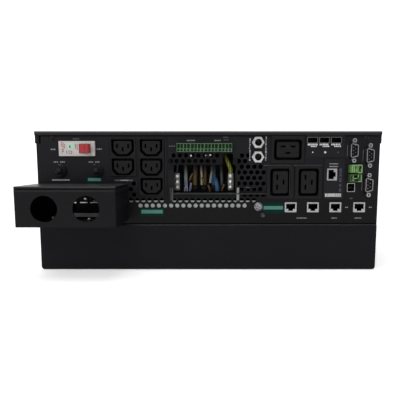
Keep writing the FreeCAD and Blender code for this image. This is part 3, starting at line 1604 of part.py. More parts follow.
def rack_ear(side):
    """Angle bracket with two open slots for the rack screws."""
    x_inner = side * (right + fit_gap)
    x_outer = side * rack_panel_width / 2
    z0 = ear_foot_gap
    z1 = top - ear_top_gap
    y1 = front
    slots = []
    for z in (rack_slot_low, z1 - rack_slot_from_ear_top):
        x = side * (rack_panel_width / 2 - rack_hole_from_ear_edge)
        half = rack_slot_length / 2
        slots.append(rear_rectangle(x - half, x + half, z - rack_slot_width / 2, z + rack_slot_width / 2, y1 - ear_thick, rack_slot_width / 2))
    face = plate(rear_rectangle(min(x_inner, x_outer), max(x_inner, x_outer), z0, z1, y1 - ear_thick, 1.0), slots, V(0, ear_thick, 0))
    flank = box(min(x_inner, x_inner + side * ear_thick), max(x_inner, x_inner + side * ear_thick), y1 - ear_side, y1, z0, z1)
    return [face.fuse(flank).removeSplitter()]


def black_screws():
    """Black screws of the rear panel, the cable box lid and the rack ears."""
    solids = []
    for place in rear_screws[:2]:
        solids.append(screw(place.x, rear, place.z, V(0, -1, 0), small_head_radius, small_head_height, small_shank_radius, 6))
    for side in (-1, 1):
        for y in (front - ear_screw_from_front, front - ear_screw_from_front - ear_screw_spacing):
            for z in (ear_screw_low, top - ear_screw_from_top):
                x = side * (right + fit_gap + ear_thick)
                solids.append(screw(x, y, z, V(side, 0, 0), 4.0, 2.0, 2.0, 0))
    return solids


def plated_screws():
    """Plated screws: the ground screw and the panel screws that are not painted."""
    solids = [screw(ground_x, rear, ground_z, V(0, -1, 0), ground_head_radius, ground_head_height, small_shank_radius + 0.7, 8)]
    for place in rear_screws[2:4]:
        solids.append(screw(place.x, rear, place.z, V(0, -1, 0), small_head_radius, small_head_height, small_shank_radius, 6))
    place = rear_screws[4]
    solids.append(screw(place.x, rear - sheet, place.z, V(0, -1, 0), small_head_radius, small_head_height, small_shank_radius, 6))
    place = floor_screw_place()
    solids.append(screw(place.x, place.y, place.z, V(0, 0, 1), small_head_radius, small_head_height, small_shank_radius, sheet))
    return solids


nodes = {
    "chassis_tray": chassis_tray(),
    "top_cover": top_cover(),
    "rear_panel_left": rear_panel("left"),
    "rear_panel_middle": rear_panel("middle"),
    "rear_panel_right": rear_panel("right"),
    "lower_rear_cover": lower_rear_cover(),
    "partition_shelf": partition_shelf(),
    "front_plate": front_plate(),
    "battery_door": battery_door(),
    "rack_ear_left": rack_ear(-1),
    "rack_ear_right": rack_ear(1),
    "black_screws": black_screws(),
    "plated_screws": plated_screws(),
    "cable_box": cable_box(),
    "cable_box_lid": cable_box_lid(),
    "input_breaker": input_breaker(),
    "breaker_toggle": breaker_toggle(),
    "reset_breakers": [reset_breaker(x) for x in reset_x],
    "reset_button_left": reset_button(reset_x[0]),
    "reset_button_right": reset_button(reset_x[1]),
    "outlet_strip_two": outlet_strip(strip_a_x, 2),
    "outlet_strip_three": outlet_strip(strip_b_x, 3),
    "large_outlets": large_outlets(),
    "outlet_contacts": outlet_contacts(),
    "terminal_shelf": terminal_shelf(),
    "terminal_block": terminal_block(),
    "terminal_clamps": terminal_clamps(),
    "cover_brackets": cover_brackets(),
    "wires_blue": wires("wires_blue"),
    "wires_brown": wires("wires_brown"),
    "wires_grey": wires("wires_grey"),
    "wires_earth": wires("wires_earth"),
    "signal_header": signal_header(),
    "sensor_sockets": [sensor_socket(z) for z in sensor_z],
    "network_card": network_card(),
    "card_ports": card_ports(),
    "control_card": control_card(),
    "serial_ports": serial_ports(),
    "relay_plugs": relay_plugs(),
    "usb_sockets": usb_host_sockets() + usb_device_socket(),
    "network_ports": network_ports(),
    "port_inserts": port_inserts(),
    "control_board": control_board(),
    "power_board": board_components("board"),
    "heat_sinks": board_components("sinks"),
    "capacitors": board_components("capacitors"),
    "chokes": board_components("chokes"),
    "fan_frames": fan_frames(),
    "fan_rotor_left": fan_rotor(fan_x[0]),
    "fan_rotor_right": fan_rotor(fan_x[1]),
    "battery_packs": battery_packs(),
    "bezel": bezel(),
    "display_housing": display_housing(),
    "display_window": display_window(),
    "front_button_left": front_button(button_x[0]),
    "front_button_right": front_button(button_x[1]),
}
for index in range(plug_count):
    nodes["signal_plug_" + str(index + 1)] = signal_plug(index)

os.makedirs("parts", exist_ok=True)
for name, solids in nodes.items():
    shape = solids[0] if len(solids) == 1 else Part.makeCompound(solids)
    if not shape.isValid():
        print("not valid:", name)
    if len(shape.Solids) != len(solids):
        print("solids:", name, len(shape.Solids), len(solids))
    shape.exportStep("parts/" + name + ".step")
print(len(nodes), "nodes")
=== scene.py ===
import math
import random

import bmesh
import bpy
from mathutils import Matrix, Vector


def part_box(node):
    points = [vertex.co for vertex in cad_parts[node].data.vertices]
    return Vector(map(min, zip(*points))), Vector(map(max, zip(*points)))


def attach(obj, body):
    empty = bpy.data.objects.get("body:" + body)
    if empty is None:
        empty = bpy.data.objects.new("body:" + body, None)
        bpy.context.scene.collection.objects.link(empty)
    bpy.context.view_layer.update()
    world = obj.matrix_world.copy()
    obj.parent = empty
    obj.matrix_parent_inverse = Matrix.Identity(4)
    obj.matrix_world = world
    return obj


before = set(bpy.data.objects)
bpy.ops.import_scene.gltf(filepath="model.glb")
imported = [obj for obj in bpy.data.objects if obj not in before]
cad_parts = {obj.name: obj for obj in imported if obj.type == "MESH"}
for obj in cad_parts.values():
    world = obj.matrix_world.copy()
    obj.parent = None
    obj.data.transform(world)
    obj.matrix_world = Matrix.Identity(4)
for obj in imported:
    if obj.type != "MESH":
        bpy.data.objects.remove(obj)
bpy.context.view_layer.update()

MM = 0.001
CASE = "case"
X, Y, Z = range(3)

# Seeds of the uneven print, so that each run draws the same bars
PRINT_SEED = 4
SCALE_SEED = 11
random.seed(PRINT_SEED)

# Places of the case, in metres, read from the frame
tray_low, tray_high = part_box("chassis_tray")
REAR = tray_low.y
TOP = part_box("top_cover")[1].z
LEFT = tray_low.x
RIGHT = tray_high.x

# The outer face of the rear panel, in millimetres
FACE = REAR / MM

# Depths behind the rear panel, in millimetres, over which the case interior is painted into shade
INNER = (3.0, 30.0)
COAT_DEPTH = (4.0, 40.0)

# Heights in metres over which the painted light on the bottom of the open cable box ends
LIT_BOX_FLOOR = (0.072, 0.076)

# Heights in metres over which the wires fall into the shade of the shelf
WIRE_SHADE = (0.117, 0.130)

# Darkest and lightest share of the base colour in the blotches of a coat
BLOTCH_DARK = 0.8
BLOTCH_LIGHT = 1.25

DARK = (0.0, 0.0, 0.0, 1.0)
DUST = (0.07, 0.07, 0.07, 1.0)
SHADE = (0.004, 0.003, 0.004, 1.0)
TRACK = (0.02, 0.12, 0.05, 1.0)
FLOOR_NEAR = (0.34, 0.34, 0.34, 1.0)
FLOOR_FAR = (0.8, 0.8, 0.8, 1.0)

# Metres from the centre over which the floor starts to glow
FLOOR_FADE = (0.4, 3.5)

# Width in metres of the soft edge of a lighter or darker band
BAND_EDGE = 0.0004


class Signal:
    """One value in a material; plain arithmetic on it adds Math nodes."""

    def __init__(self, paint, socket):
        self.paint = paint
        self.socket = socket

    def combine(self, operation, first, second):
        return self.paint.node("Math", {"operation": operation}, {0: first, 1: second})

    def __add__(self, other):
        return self.combine("ADD", self, other)

    def __rsub__(self, other):
        return self.combine("SUBTRACT", other, self)

    def __mul__(self, other):
        return self.combine("MULTIPLY", self, other)

    def smooth(self, low, high):
        """0 below low, 1 above high and a smooth step between."""
        settings = {"interpolation_type": "SMOOTHSTEP"}
        return self.paint.node("MapRange", settings, {0: self, 1: low, 2: high})


def scaled(color, share):
    """A colour scaled by a share, never above 1, with full alpha."""
    return tuple(min(c * share, 1.0) for c in color[:3]) + (1.0,)


class Paint:
    """A material with one Principled shader and short calls to feed it."""

    def __init__(self, name, color, roughness, **constants):
        self.material = bpy.data.materials.new(name)
        self.material.use_nodes = True
        self.tree = self.material.node_tree
        self.shader = self.tree.nodes["Principled BSDF"]
        self.color = (*color, 1.0)
        self.set("Base Color", self.color)
        self.set("Roughness", roughness)
        for socket, value in constants.items():
            self.set(socket.replace("_", " "), value)

    def node(self, kind, settings=None, values=None, output=0):
        """Adds a node, sets its settings, then its sockets, and returns one output."""
        made = self.tree.nodes.new("ShaderNode" + kind)
        for key, value in (settings or {}).items():
            setattr(made, key, value)
        for key, value in (values or {}).items():
            self.feed(made.inputs[key], value)
        return Signal(self, made.outputs[output])

    def feed(self, socket, value):
        """Links a signal to a socket, or sets a plain value on it."""
        if isinstance(value, Signal):
            self.tree.links.new(value.socket, socket)
        else:
            socket.default_value = value

    def set(self, socket, value):
        self.feed(self.shader.inputs[socket], value)

    def place(self):
        """Position on the object, in metres."""
        return self.node("TexCoord", output="Object")

    def noise(self, scale, detail=3.0, roughness=0.55, stretch=None):
        """Noise between 0 and 1 with scale grains a metre."""
        where = self.place()
        if stretch:
            where = self.node("Mapping", values={"Vector": where, "Scale": stretch})
        values = {"Vector": where, "Scale": scale, "Detail": detail, "Roughness": roughness}
        return self.node("TexNoise", values=values)

    def cells(self, scale):
        """Distance to the nearest of scattered points, scale of them a metre."""
        return self.node("TexVoronoi", values={"Vector": self.place(), "Scale": scale})

    def upward(self):
        """1 on faces that look up, 0 on walls."""
        normal = self.node("NewGeometry", output="Normal")
        return self.node("SeparateXYZ", values={0: normal}, output=Z)

    def blend(self, share, first, second):
        """Colour that goes from first to second with share."""
        return self.node("Mix", {"data_type": "RGBA"}, {0: share, 6: first, 7: second}, output=2)

    def along(self, axis):
        """Place along one axis, in metres."""
        return self.node("SeparateXYZ", values={0: self.place()}, output=axis)

    def behind(self, near, far):
        """0 up to one depth behind the rear panel and 1 from another on, in millimetres."""
        return self.along(Y).smooth(REAR + near * MM, REAR + far * MM)

    def window(self, axis, start, end):
        """1 between two places along an axis, 0 outside, with soft edges."""
        place = self.along(axis)
        return place.smooth(start, start + BAND_EDGE) * (1.0 - place.smooth(end - BAND_EDGE, end))

    def painted_depth_shade(self, base, depth, dark):
        """The base colour, down to a dark share of it where the piece lies behind the panel, as painted
        shade.
        """
        if not depth:
            return base
        return self.blend(self.behind(*depth) * (1.0 - dark), base, DARK)

    def shadow(self, base, light_and_shade_bands):
        """The base colour with painted shade in strips given by axis, start, end and share."""
        for axis, start, end, share in light_and_shade_bands:
            base = self.blend(self.window(axis, start, end) * share, base, DARK)
        return base

    def tint(self, share, low, high):
        """The base colour, scaled from low to high with share."""
        return self.blend(share, scaled(self.color, low), scaled(self.color, high))

    def bump(self, height, strength, distance):
        """Relief from a height between 0 and 1 over a distance in metres."""
        values = {"Height": height, "Strength": strength, "Distance": distance}
        self.set("Normal", self.node("Bump", values=values))


def powder_coat(name, color, roughness=0.46, grain=1500.0, dust=0.3, gloss=0.14, depth=COAT_DEPTH,
                low=None, light_and_shade_bands=(), floor=0.0, shade_patch=None):
    """Satin powder coat: fine orange peel, slight blotches and a little dust on top faces.

    depth gives painted shade behind the panel; low is a start, an end and the share of the
    colour below them, painted shade on the lower part; light_and_shade_bands are painted
    highlights and painted shadow lines given by axis, start, end and brightness; floor is the
    brightness of painted light on the bottom of an open box; shade_patch is a rectangle in x
    and z with its share of the colour, painted shade.
    """
    paint = Paint(name, color, roughness, Specular_IOR_Level=gloss)
    blotch = paint.noise(14.0, 4.0)
    peel = paint.noise(grain, 2.0)
    fall = paint.upward().smooth(0.5, 0.95) * paint.noise(90.0, 5.0).smooth(0.1, 0.95) * dust

    def coat(share):
        return paint.tint(blotch, BLOTCH_DARK * share, BLOTCH_LIGHT * share)

    # Painted shade behind the panel
    base = paint.painted_depth_shade(coat(1.0), depth, 0.2)
    # Painted shade on the lower part
    if low:
        start, end, share = low
        base = paint.blend(paint.along(Z).smooth(start, end), coat(share), base)
    # Painted highlights and painted shadow lines
    for axis, start, end, light in light_and_shade_bands:
        base = paint.blend(paint.window(axis, start, end), base, (light, light, light * 1.05, 1.0))
    # Painted shade in a rectangle
    if shade_patch:
        x0, x1, z0, z1, share = shade_patch
        mask = paint.window(X, x0, x1) * paint.window(Z, z0, z1)
        base = paint.blend(mask, base, coat(share))
    # Painted light on the up-facing bottom of an open box
    if floor:
        inside = paint.upward().smooth(0.5, 0.9) * (1.0 - paint.along(Z).smooth(*LIT_BOX_FLOOR))
        base = paint.blend(inside, base, (floor, floor, floor, 1.0))
    paint.set("Base Color", paint.blend(fall, base, DUST))
    rub = paint.noise(35.0, 6.0, 0.7, (0.35, 1.0, 3.0)).smooth(0.56, 0.78)
    paint.set("Roughness", paint.noise(40.0, 3.0) * 0.12 + (roughness - 0.08) + rub * 0.08)
    paint.bump(peel, 0.22, 0.00012)
    return paint.material


def plated(name, color, roughness=0.3, brushed=True, depth=None, dark=0.1, light_and_shade_bands=()):
    """Plated steel: brushed streaks, faint spangle and dull spots."""
    paint = Paint(name, color, roughness, Metallic=1.0)
    stretch = (1.0, 1.0, 14.0) if brushed else (1.0, 1.0, 1.0)
    streak = paint.noise(420.0, 4.0, 0.6, stretch)
    spot = paint.noise(90.0, 4.0).smooth(0.5, 0.72)
    worn = paint.blend(spot * 0.35, paint.tint(streak, 0.85, 1.12), scaled(color, 0.65))
    # Painted shade behind the panel and in strips
    paint.set("Base Color", paint.shadow(paint.painted_depth_shade(worn, depth, dark), light_and_shade_bands))
    paint.set("Roughness", streak * 0.16 + (roughness - 0.06) + spot * 0.12)
    paint.bump(streak, 0.12, 0.00006)
    return paint.material


def moulded(name, color, roughness=0.42, grain=2600.0, relief=0.16, depth=None, dark=0.1, light_and_shade_bands=(),
            **constants):
    """Moulded plastic: fine spark texture, soft sheen changes and slight colour drift."""
    paint = Paint(name, color, roughness, **constants)
    drift = paint.noise(30.0, 3.0)
    # Painted shade behind the panel and in strips
    base = paint.painted_depth_shade(paint.tint(drift, 0.86, 1.16), depth, dark)
    paint.set("Base Color", paint.shadow(base, light_and_shade_bands))
    paint.set("Roughness", paint.noise(160.0, 4.0) * 0.16 + (roughness - 0.08))
    paint.bump(paint.cells(grain), relief, 0.00005)
    return paint.material


def insulation(name, color, stripe=None, colours_and_shade=(), shaded=True):
    """Wire insulation, with other colours and painted shade past some places, painted shade on the upper
    part and a stripe wound along some wires.
    """
    paint = Paint(name, color, 0.4, Specular_IOR_Level=0.2)
    base = paint.tint(paint.noise(120.0, 3.0), 0.75, 1.2)
    # Other wires' own colours, and painted shade on the upper part, past some places
    for axis, low, high, other in colours_and_shade:
        base = paint.blend(paint.along(axis).smooth(low, high), base, (*other, 1.0))
    # Painted shade on the upper part of the wires, under the shelf
    if shaded:
        base = paint.blend(paint.along(Z).smooth(*WIRE_SHADE) * 0.8, base, SHADE)
    if stripe:
        waver = paint.noise(60.0, 1.0) * 0.0012
        winding = (paint.along(X) + waver) * 2300.0
        band = paint.node("Math", {"operation": "SINE"}, {0: winding})
        base = paint.blend(band.smooth(0.25, 0.45), base, (*stripe, 1.0))
    paint.set("Base Color", base)
    paint.bump(paint.noise(900.0, 2.0), 0.12, 0.00008)
    return paint.material


def board_mask(name, color):
    """Green board with fine tracks under its solder mask."""
    paint = Paint(name, color, 0.36, Coat_Weight=0.3)
    values = {"Vector": paint.place(), "Scale": 210.0}
    line = paint.node("TexVoronoi", {"distance": "CHEBYCHEV"}, values).smooth(0.42, 0.48)
    # Painted shade behind the panel
    paint.set("Base Color", paint.painted_depth_shade(paint.blend(line, paint.color, TRACK), INNER, 0.1))
    paint.bump(line, 0.2, 0.00005)
    return paint.material


def printed(name, color):
    """Screen print, slightly thin in places."""
    paint = Paint(name, color, 0.55, Specular_IOR_Level=0.15)
    thin = paint.noise(1400.0, 3.0).smooth(0.55, 0.8) * 0.25
    paint.set("Base Color", paint.blend(thin, paint.color, scaled(color, 0.55)))
    paint.bump(paint.noise(2200.0, 2.0), 0.1, 0.00003)
    return paint.material


def foil(name, color, sheen=0.15):
    """Self-adhesive label with a soft sheen and fine scuffs."""
    paint = Paint(name, color, 0.48, Specular_IOR_Level=sheen)
    scuff = paint.noise(500.0, 5.0, 0.7, (1.0, 1.0, 5.0)).smooth(0.55, 0.75)
    mottled = paint.tint(paint.noise(80.0), 0.9, 1.08)
    paint.set("Base Color", paint.blend(scuff * 0.2, mottled, scaled(color, 1.6)))
    paint.set("Roughness", scuff * 0.2 + 0.42)
    paint.bump(scuff, 0.06, 0.00003)
    return paint.material


def clear_pane(name, color):
    """Smoked window of the display."""
    paint = Paint(name, color, 0.08, Coat_Weight=0.6)
    smear = paint.noise(70.0, 5.0).smooth(0.45, 0.75)
    paint.set("Roughness", smear * 0.14 + 0.05)
    return paint.material


def lamp(name, color, strength):
    """Small indicator lens with a soft glow."""
    paint = Paint(name, color, 0.25, Emission_Strength=strength)
    glow = paint.noise(900.0, 2.0).smooth(0.2, 0.8)
    paint.set("Emission Color", paint.tint(glow, 0.7, 1.0))
    return paint.material


def floor_finish(name, color):
    """Matte studio floor with a very faint tooth, which glows far off so that it stays white."""
    paint = Paint(name, color, 0.9, Specular_IOR_Level=0.1, Emission_Strength=1.0)
    away = paint.node("VectorMath", {"operation": "LENGTH"}, {0: paint.place()}, output="Value")
    paint.set("Emission Color", paint.blend(away.smooth(*FLOOR_FADE), FLOOR_NEAR, FLOOR_FAR))
    paint.set("Base Color", paint.tint(paint.noise(3.0, 2.0), 0.995, 1.005))
    paint.bump(paint.noise(500.0, 2.0), 0.02, 0.0001)
    return paint.material


# Coats, among them lit and shaded copies of the black coat as painted light and shade
BLACK = powder_coat("black_powder_coat", (0.0066, 0.0061, 0.0078))
# Panel coat with painted shade on its lower part and around the terminal bay
PANEL = powder_coat("panel_powder_coat", (0.0064, 0.0060, 0.0074), gloss=0.11,
                    low=(0.075, 0.125, 0.45), shade_patch=(-0.050, 0.0445, 0.127, 0.1435, 0.45))
# Darker copy of the coat for the lower cover as painted shade, with a painted highlight along its top
# edge
LOWER = powder_coat("lower_powder_coat", (0.0046, 0.0042, 0.0058), gloss=0.085,
                    light_and_shade_bands=[(Z, 0.0580, 0.0600, 0.08)])
# Darker copy of the coat for the cable box as painted shade, with painted light on its open floor and a
# painted highlight below the lid
BOX_COAT = powder_coat("box_powder_coat", (0.0048, 0.0045, 0.0054), gloss=0.09, floor=0.045,
                       light_and_shade_bands=[(Z, 0.1046, 0.1069, 0.013)])
# Lighter copy of the coat for the lid as painted light from above, with a painted shadow line on its
# front flange
BOX_LID = powder_coat("box_lid_coat", (0.0100, 0.0100, 0.0110), 0.42, dust=0.5, gloss=0.18,
                      light_and_shade_bands=[(Z, 0.1070, 0.1094, 0.002)])
# Lighter copy of the coat for the top cover as painted light, with a painted highlight along its top edge
COVER = powder_coat("cover_powder_coat", (0.0100, 0.0100, 0.0110), 0.42, dust=0.5, gloss=0.17,
                    light_and_shade_bands=[(Z, TOP - 0.0022, TOP + 0.002, 0.045)])
# Light copy of the coat for the shelf lip as a painted highlight, with painted shade behind the panel
SHELF = powder_coat("shelf_powder_coat", (0.026, 0.026, 0.027), 0.4, gloss=0.1, depth=(-0.5, 3.0))
BLACKED = powder_coat("black_oxide", (0.004, 0.004, 0.0045), 0.34, 2600.0, dust=0.1, gloss=0.2)

# Metals
# Depths darken a metal behind the panel and deep in a port as painted shade
ZINC = plated("galvanised_zinc", (0.28, 0.29, 0.29), 0.38, depth=INNER, dark=0.02)
# Painted shade on the bracket, deepest on the outer part of the left post
BRACKET = plated("bracket_zinc", (0.50, 0.50, 0.48), 0.38,
                 light_and_shade_bands=[(X, -0.07, 0.06, 0.5), (X, -0.07, -0.0447, 0.8)])
# Painted shade on the screws low down
SCREW = plated("screw_zinc", (0.31, 0.30, 0.32), 0.36, False, light_and_shade_bands=[(Z, 0.03, 0.0735, 0.8)])
# Bright zinc of domed screws, bar ends and clamp beads; on the screws in the dim cable box its brightness
# is painted light
BRIGHT = plated("bright_zinc", (0.74, 0.73, 0.70), 0.34, False)
# Painted shade on the clamps behind the panel and in the middle of the row
CLAMP = plated("clamp_zinc", (0.38, 0.38, 0.37), 0.4, False, (16.8, 19.0), 0.3,
               [(X, -0.037, 0.024, 0.97)])
NICKEL = plated("satin_nickel", (0.37, 0.36, 0.37), 0.32, False, (-0.8, 1.2), 0.03)
CARD_SHIELD = plated("card_shield", (0.20, 0.20, 0.20), 0.36, False, (-0.8, 1.0), 0.03)
# Painted shade over the stacked sockets
USB_SHELL = plated("usb_shell", (0.46, 0.46, 0.45), 0.34, False, (-0.8, 1.2), 0.03,
                   [(X, 0.13, 0.166, 0.9)])
SOCKET = plated("nickel_socket", (0.62, 0.62, 0.61), 0.28, False, (-3.0, 1.0), 0.06)
# Brass kept very dark: painted shade on the contacts deep in their slots
BRASS = plated("spring_brass", (0.05, 0.043, 0.03), 0.45)
GOLD = plated("contact_gold", (0.30, 0.22, 0.10), 0.3, False, (0.0, 6.0))
ALUMINIUM = plated("extruded_aluminium", (0.60, 0.61, 0.63), 0.36, depth=INNER, dark=0.02)
COIL = plated("enamelled_copper", (0.50, 0.22, 0.10), 0.3, depth=INNER, dark=0.05)

# Plastics
# Depths darken a plastic near and behind the panel as painted shade
OUTLET = moulded("outlet_plastic", (0.0062, 0.0062, 0.0064), 0.45, depth=(0.5, 7.0),
                 Specular_IOR_Level=0.12)
INSERT = moulded("insert_plastic", (0.004, 0.004, 0.0045), 0.5, depth=(0.0, 5.0),
                 Specular_IOR_Level=0.06)
GLOSS = moulded("button_plastic", (0.004, 0.004, 0.0045), 0.36, 3200.0, 0.06,
                Specular_IOR_Level=0.14)
IVORY = moulded("breaker_plastic", (0.40, 0.385, 0.37), 0.4, 3000.0, 0.06)
RED = moulded("toggle_plastic", (0.30, 0.026, 0.030), 0.3, 3000.0, 0.05, Specular_IOR_Level=0.3)
STRIP = moulded("strip_green", (0.068, 0.122, 0.070), 0.4, 3000.0, 0.08, (-4.5, -0.5), 0.0,
                Specular_IOR_Level=0.15)
# Near-black green: painted shade in the entries of the relay and strip plugs
GREEN_SHADE = moulded("green_painted_shade", (0.003, 0.014, 0.003), 0.5, 3000.0, 0.08,
                     Specular_IOR_Level=0.05)
# Relay green with painted shade on the lower plug and near the panel
GREEN = moulded("relay_green", (0.075, 0.15, 0.048), 0.4, 3000.0, 0.08, (-3.0, 2.0), 0.0,
                [(Z, 0.110, 0.1236, 0.6)], Specular_IOR_Level=0.15)
# Pale green: painted highlights on the edges of the relay plugs
GREEN_HIGHLIGHT = moulded("green_painted_highlight", (0.22, 0.36, 0.16), 0.4, 3000.0, 0.08, Specular_IOR_Level=0.2)
PIN_FIELD = moulded("pin_field", (0.035, 0.036, 0.034), 0.5, 3000.0, 0.08,
                    Specular_IOR_Level=0.15)
SLEEVE = moulded("capacitor_sleeve", (0.02, 0.024, 0.05), 0.3, depth=INNER)
CASE_PLASTIC = moulded("battery_case", (0.02, 0.02, 0.022), 0.5, depth=INNER)
# Near-black: painted shadows along the joints of the covers and in the drive of the ground screw
PAINTED_SHADOW = moulded("joint_shadow", (0.0012, 0.0012, 0.0014), 0.7, Specular_IOR_Level=0.02)

# Wires
# Darker colours above a height on a wire are painted shade; the grey cable's colours along x belong to
# other wires
BLUE_WIRE = insulation("blue_insulation", (0.020, 0.062, 0.125),
                       colours_and_shade=[(Z, 0.116, 0.121, (0.012, 0.045, 0.07))])
BROWN_WIRE = insulation("brown_insulation", (0.060, 0.038, 0.012),
                        colours_and_shade=[(Z, 0.122, 0.130, (0.03, 0.015, 0.012))])
GREY_WIRE = insulation("grey_insulation", (0.15, 0.20, 0.19), colours_and_shade=[
    (X, -0.020, -0.016, (0.40, 0.35, 0.24)),
    (X, 0.004, 0.008, (0.045, 0.045, 0.048)),
    (Z, 0.128, 0.136, (0.02, 0.025, 0.025))])
EARTH_WIRE = insulation("earth_insulation", (0.26, 0.24, 0.03), (0.05, 0.09, 0.02), shaded=False)
PALE_WIRE = insulation("pale_insulation", (0.15, 0.15, 0.15),
                       colours_and_shade=[(Z, 0.128, 0.136, (0.05, 0.05, 0.05))])
LILAC_WIRE = insulation("lilac_insulation", (0.07, 0.08, 0.15), (0.20, 0.19, 0.24))

# Board, window, prints, painted highlight, labels and lens
BOARD = board_mask("board_green", (0.02, 0.10, 0.04))
PANE = clear_pane("smoked_window", (0.008, 0.010, 0.013))
WHITE_PRINT = printed("white_print", (0.50, 0.51, 0.51))
SOFT_PRINT = printed("soft_print", (0.24, 0.24, 0.25))
GREY_PRINT = printed("grey_print", (0.09, 0.09, 0.10))
BLUE_PRINT = printed("blue_grey_print", (0.05, 0.05, 0.075))
ROSE_PRINT = printed("rose_print", (0.30, 0.06, 0.07))
BROWN_PRINT = printed("brown_print", (0.20, 0.09, 0.09))
# Light grey for painted highlights on the edges of the outlet plates
EDGE_HIGHLIGHT = printed("edge_light", (0.030, 0.036, 0.036))
MINT = foil("mint_window", (0.36, 0.52, 0.42))
FOREST = foil("green_half", (0.02, 0.10, 0.05))
TEAL = foil("teal_label", (0.0015, 0.018, 0.013), 0.04)
TEAL_LIGHT = foil("teal_stripe", (0.055, 0.155, 0.122))
TEAL_PALE = foil("teal_pale_stripe", (0.075, 0.19, 0.16))
WHITE_LABEL = foil("white_label", (0.33, 0.34, 0.34))
LENS = lamp("clear_lens", (0.42, 0.43, 0.43), 0.05)

NODE_FINISH = {
    BLACK: ["chassis_tray", "front_plate", "battery_door", "rack_ear_left", "rack_ear_right",
            "network_card", "control_card"],
    PANEL: ["rear_panel_left", "rear_panel_middle", "rear_panel_right"],
    LOWER: ["lower_rear_cover"],
    BOX_COAT: ["cable_box"],
    BOX_LID: ["cable_box_lid"],
    SHELF: ["terminal_shelf"],
    COVER: ["top_cover"],
    ZINC: ["partition_shelf"],
    BRACKET: ["cover_brackets"],
    CLAMP: ["terminal_clamps"],
    SCREW: ["plated_screws"],
    NICKEL: ["network_ports", "serial_ports"],
    CARD_SHIELD: ["card_ports"],
    USB_SHELL: ["usb_sockets"],
    SOCKET: ["sensor_sockets"],
    BLACKED: ["black_screws"],
    OUTLET: ["reset_breakers", "outlet_strip_two", "outlet_strip_three", "large_outlets", "fan_frames",
             "fan_rotor_left", "fan_rotor_right", "bezel", "display_housing"],
    INSERT: ["port_inserts", "terminal_block"],
    GLOSS: ["reset_button_left", "reset_button_right", "front_button_left", "front_button_right"],
    IVORY: ["input_breaker"],
    RED: ["breaker_toggle"],
    STRIP: ["signal_header", "signal_plug_1", "signal_plug_2", "signal_plug_3", "signal_plug_4"],
    GREEN: ["relay_plugs"],
    BRASS: ["outlet_contacts"],
    BLUE_WIRE: ["wires_blue"],
    BROWN_WIRE: ["wires_brown"],
    GREY_WIRE: ["wires_grey"],
    EARTH_WIRE: ["wires_earth"],
    BOARD: ["control_board", "power_board"],
    ALUMINIUM: ["heat_sinks"],
    SLEEVE: ["capacitors"],
    COIL: ["chokes"],
    CASE_PLASTIC: ["battery_packs"],
    PANE: ["display_window"],
}

# Rounding of the edges of a label, in metres
LABEL_EDGE = 0.00002

# Sizes in millimetres: how far a flat mark of print, painted highlight or painted shadow stands off its
# face and reaches into it
MARK_LIFT = 0.06
MARK_ROOT = 0.02

# Ranges in millimetres of the uneven bars of print, and the width too narrow for one more bar
BAR_WIDTH = (0.9, 1.7)
BAR_GAP = (0.45, 0.8)
BAR_REST = 0.7

# Range of the height of a bar, as a share of the height of its row
BAR_HEIGHT = (0.85, 1.0)

# Height in millimetres above which a solid is a port or a clamp and not one of its screws
TALL_SOLID = 12.0

# Sides of a round cord
CORD_STEPS = 12


def dress_nodes():
    """Gives each node of the frame its finish."""
    for finish, names in NODE_FINISH.items():
        for name in names:
            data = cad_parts[name].data
            data.materials.clear()
            data.materials.append(finish)


def link(name, data):
    """Puts a mesh, a light or a camera into the scene."""
    thing = bpy.data.objects.new(name, data)
    bpy.context.scene.collection.objects.link(thing)
    return thing


def filled(mesh, name):
    """Turns the faces of a mesh outward and returns its data."""
    bmesh.ops.recalc_face_normals(mesh, faces=mesh.faces)
    data = bpy.data.meshes.new(name)
    mesh.to_mesh(data)
    mesh.free()
    return data


def keep(mesh, name, finish, bevel=0.0):
    """Makes a piece of a filled mesh, gives it its finish and lets it ride on the case."""
    data = filled(mesh, name)
    piece = link(name, data)
    data.materials.append(finish)
    if bevel > 0:
        edge = piece.modifiers.new("edge", "BEVEL")
        edge.width = bevel
        edge.segments = 2
        edge.limit_method = "ANGLE"
    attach(piece, CASE)


def add_slab(mesh, low, high):
    """Adds a closed cuboid between two corners given in millimetres."""
    corners = []
    for x in (low[0], high[0]):
        for y in (low[1], high[1]):
            for z in (low[2], high[2]):
                corners.append(mesh.verts.new((x * MM, y * MM, z * MM)))
    for face in ((0, 1, 3, 2), (4, 6, 7, 5), (0, 4, 5, 1), (2, 3, 7, 6), (0, 2, 6, 4), (1, 5, 7, 3)):
        mesh.faces.new([corners[i] for i in face])


def circle(radius, steps):
    """Points of a circle about zero."""
    turns = [2 * math.pi * i / steps for i in range(steps)]
    return [(radius * math.cos(turn), radius * math.sin(turn)) for turn in turns]


def close_rings(mesh, rings):
    """Adds walls between rings of vertices and a cap on both ends."""
    steps = len(rings[0])
    for lower, upper in zip(rings, rings[1:]):
        for i in range(steps):
            j = (i + 1) % steps
            mesh.faces.new((lower[i], lower[j], upper[j], upper[i]))
    mesh.faces.new(rings[0][::-1])
    mesh.faces.new(rings[-1])


def add_lathe(mesh, profile, centre, steps):
    """Adds a form turned about Y: profile holds radius and distance along it, in millimetres."""
    rings = []
    for radius, along in profile:
        ring = []
        for across, up in circle(radius, steps):
            spot = (centre[0] + across, centre[1] + along, centre[2] + up)
            ring.append(mesh.verts.new([c * MM for c in spot]))
        rings.append(ring)
    close_rings(mesh, rings)


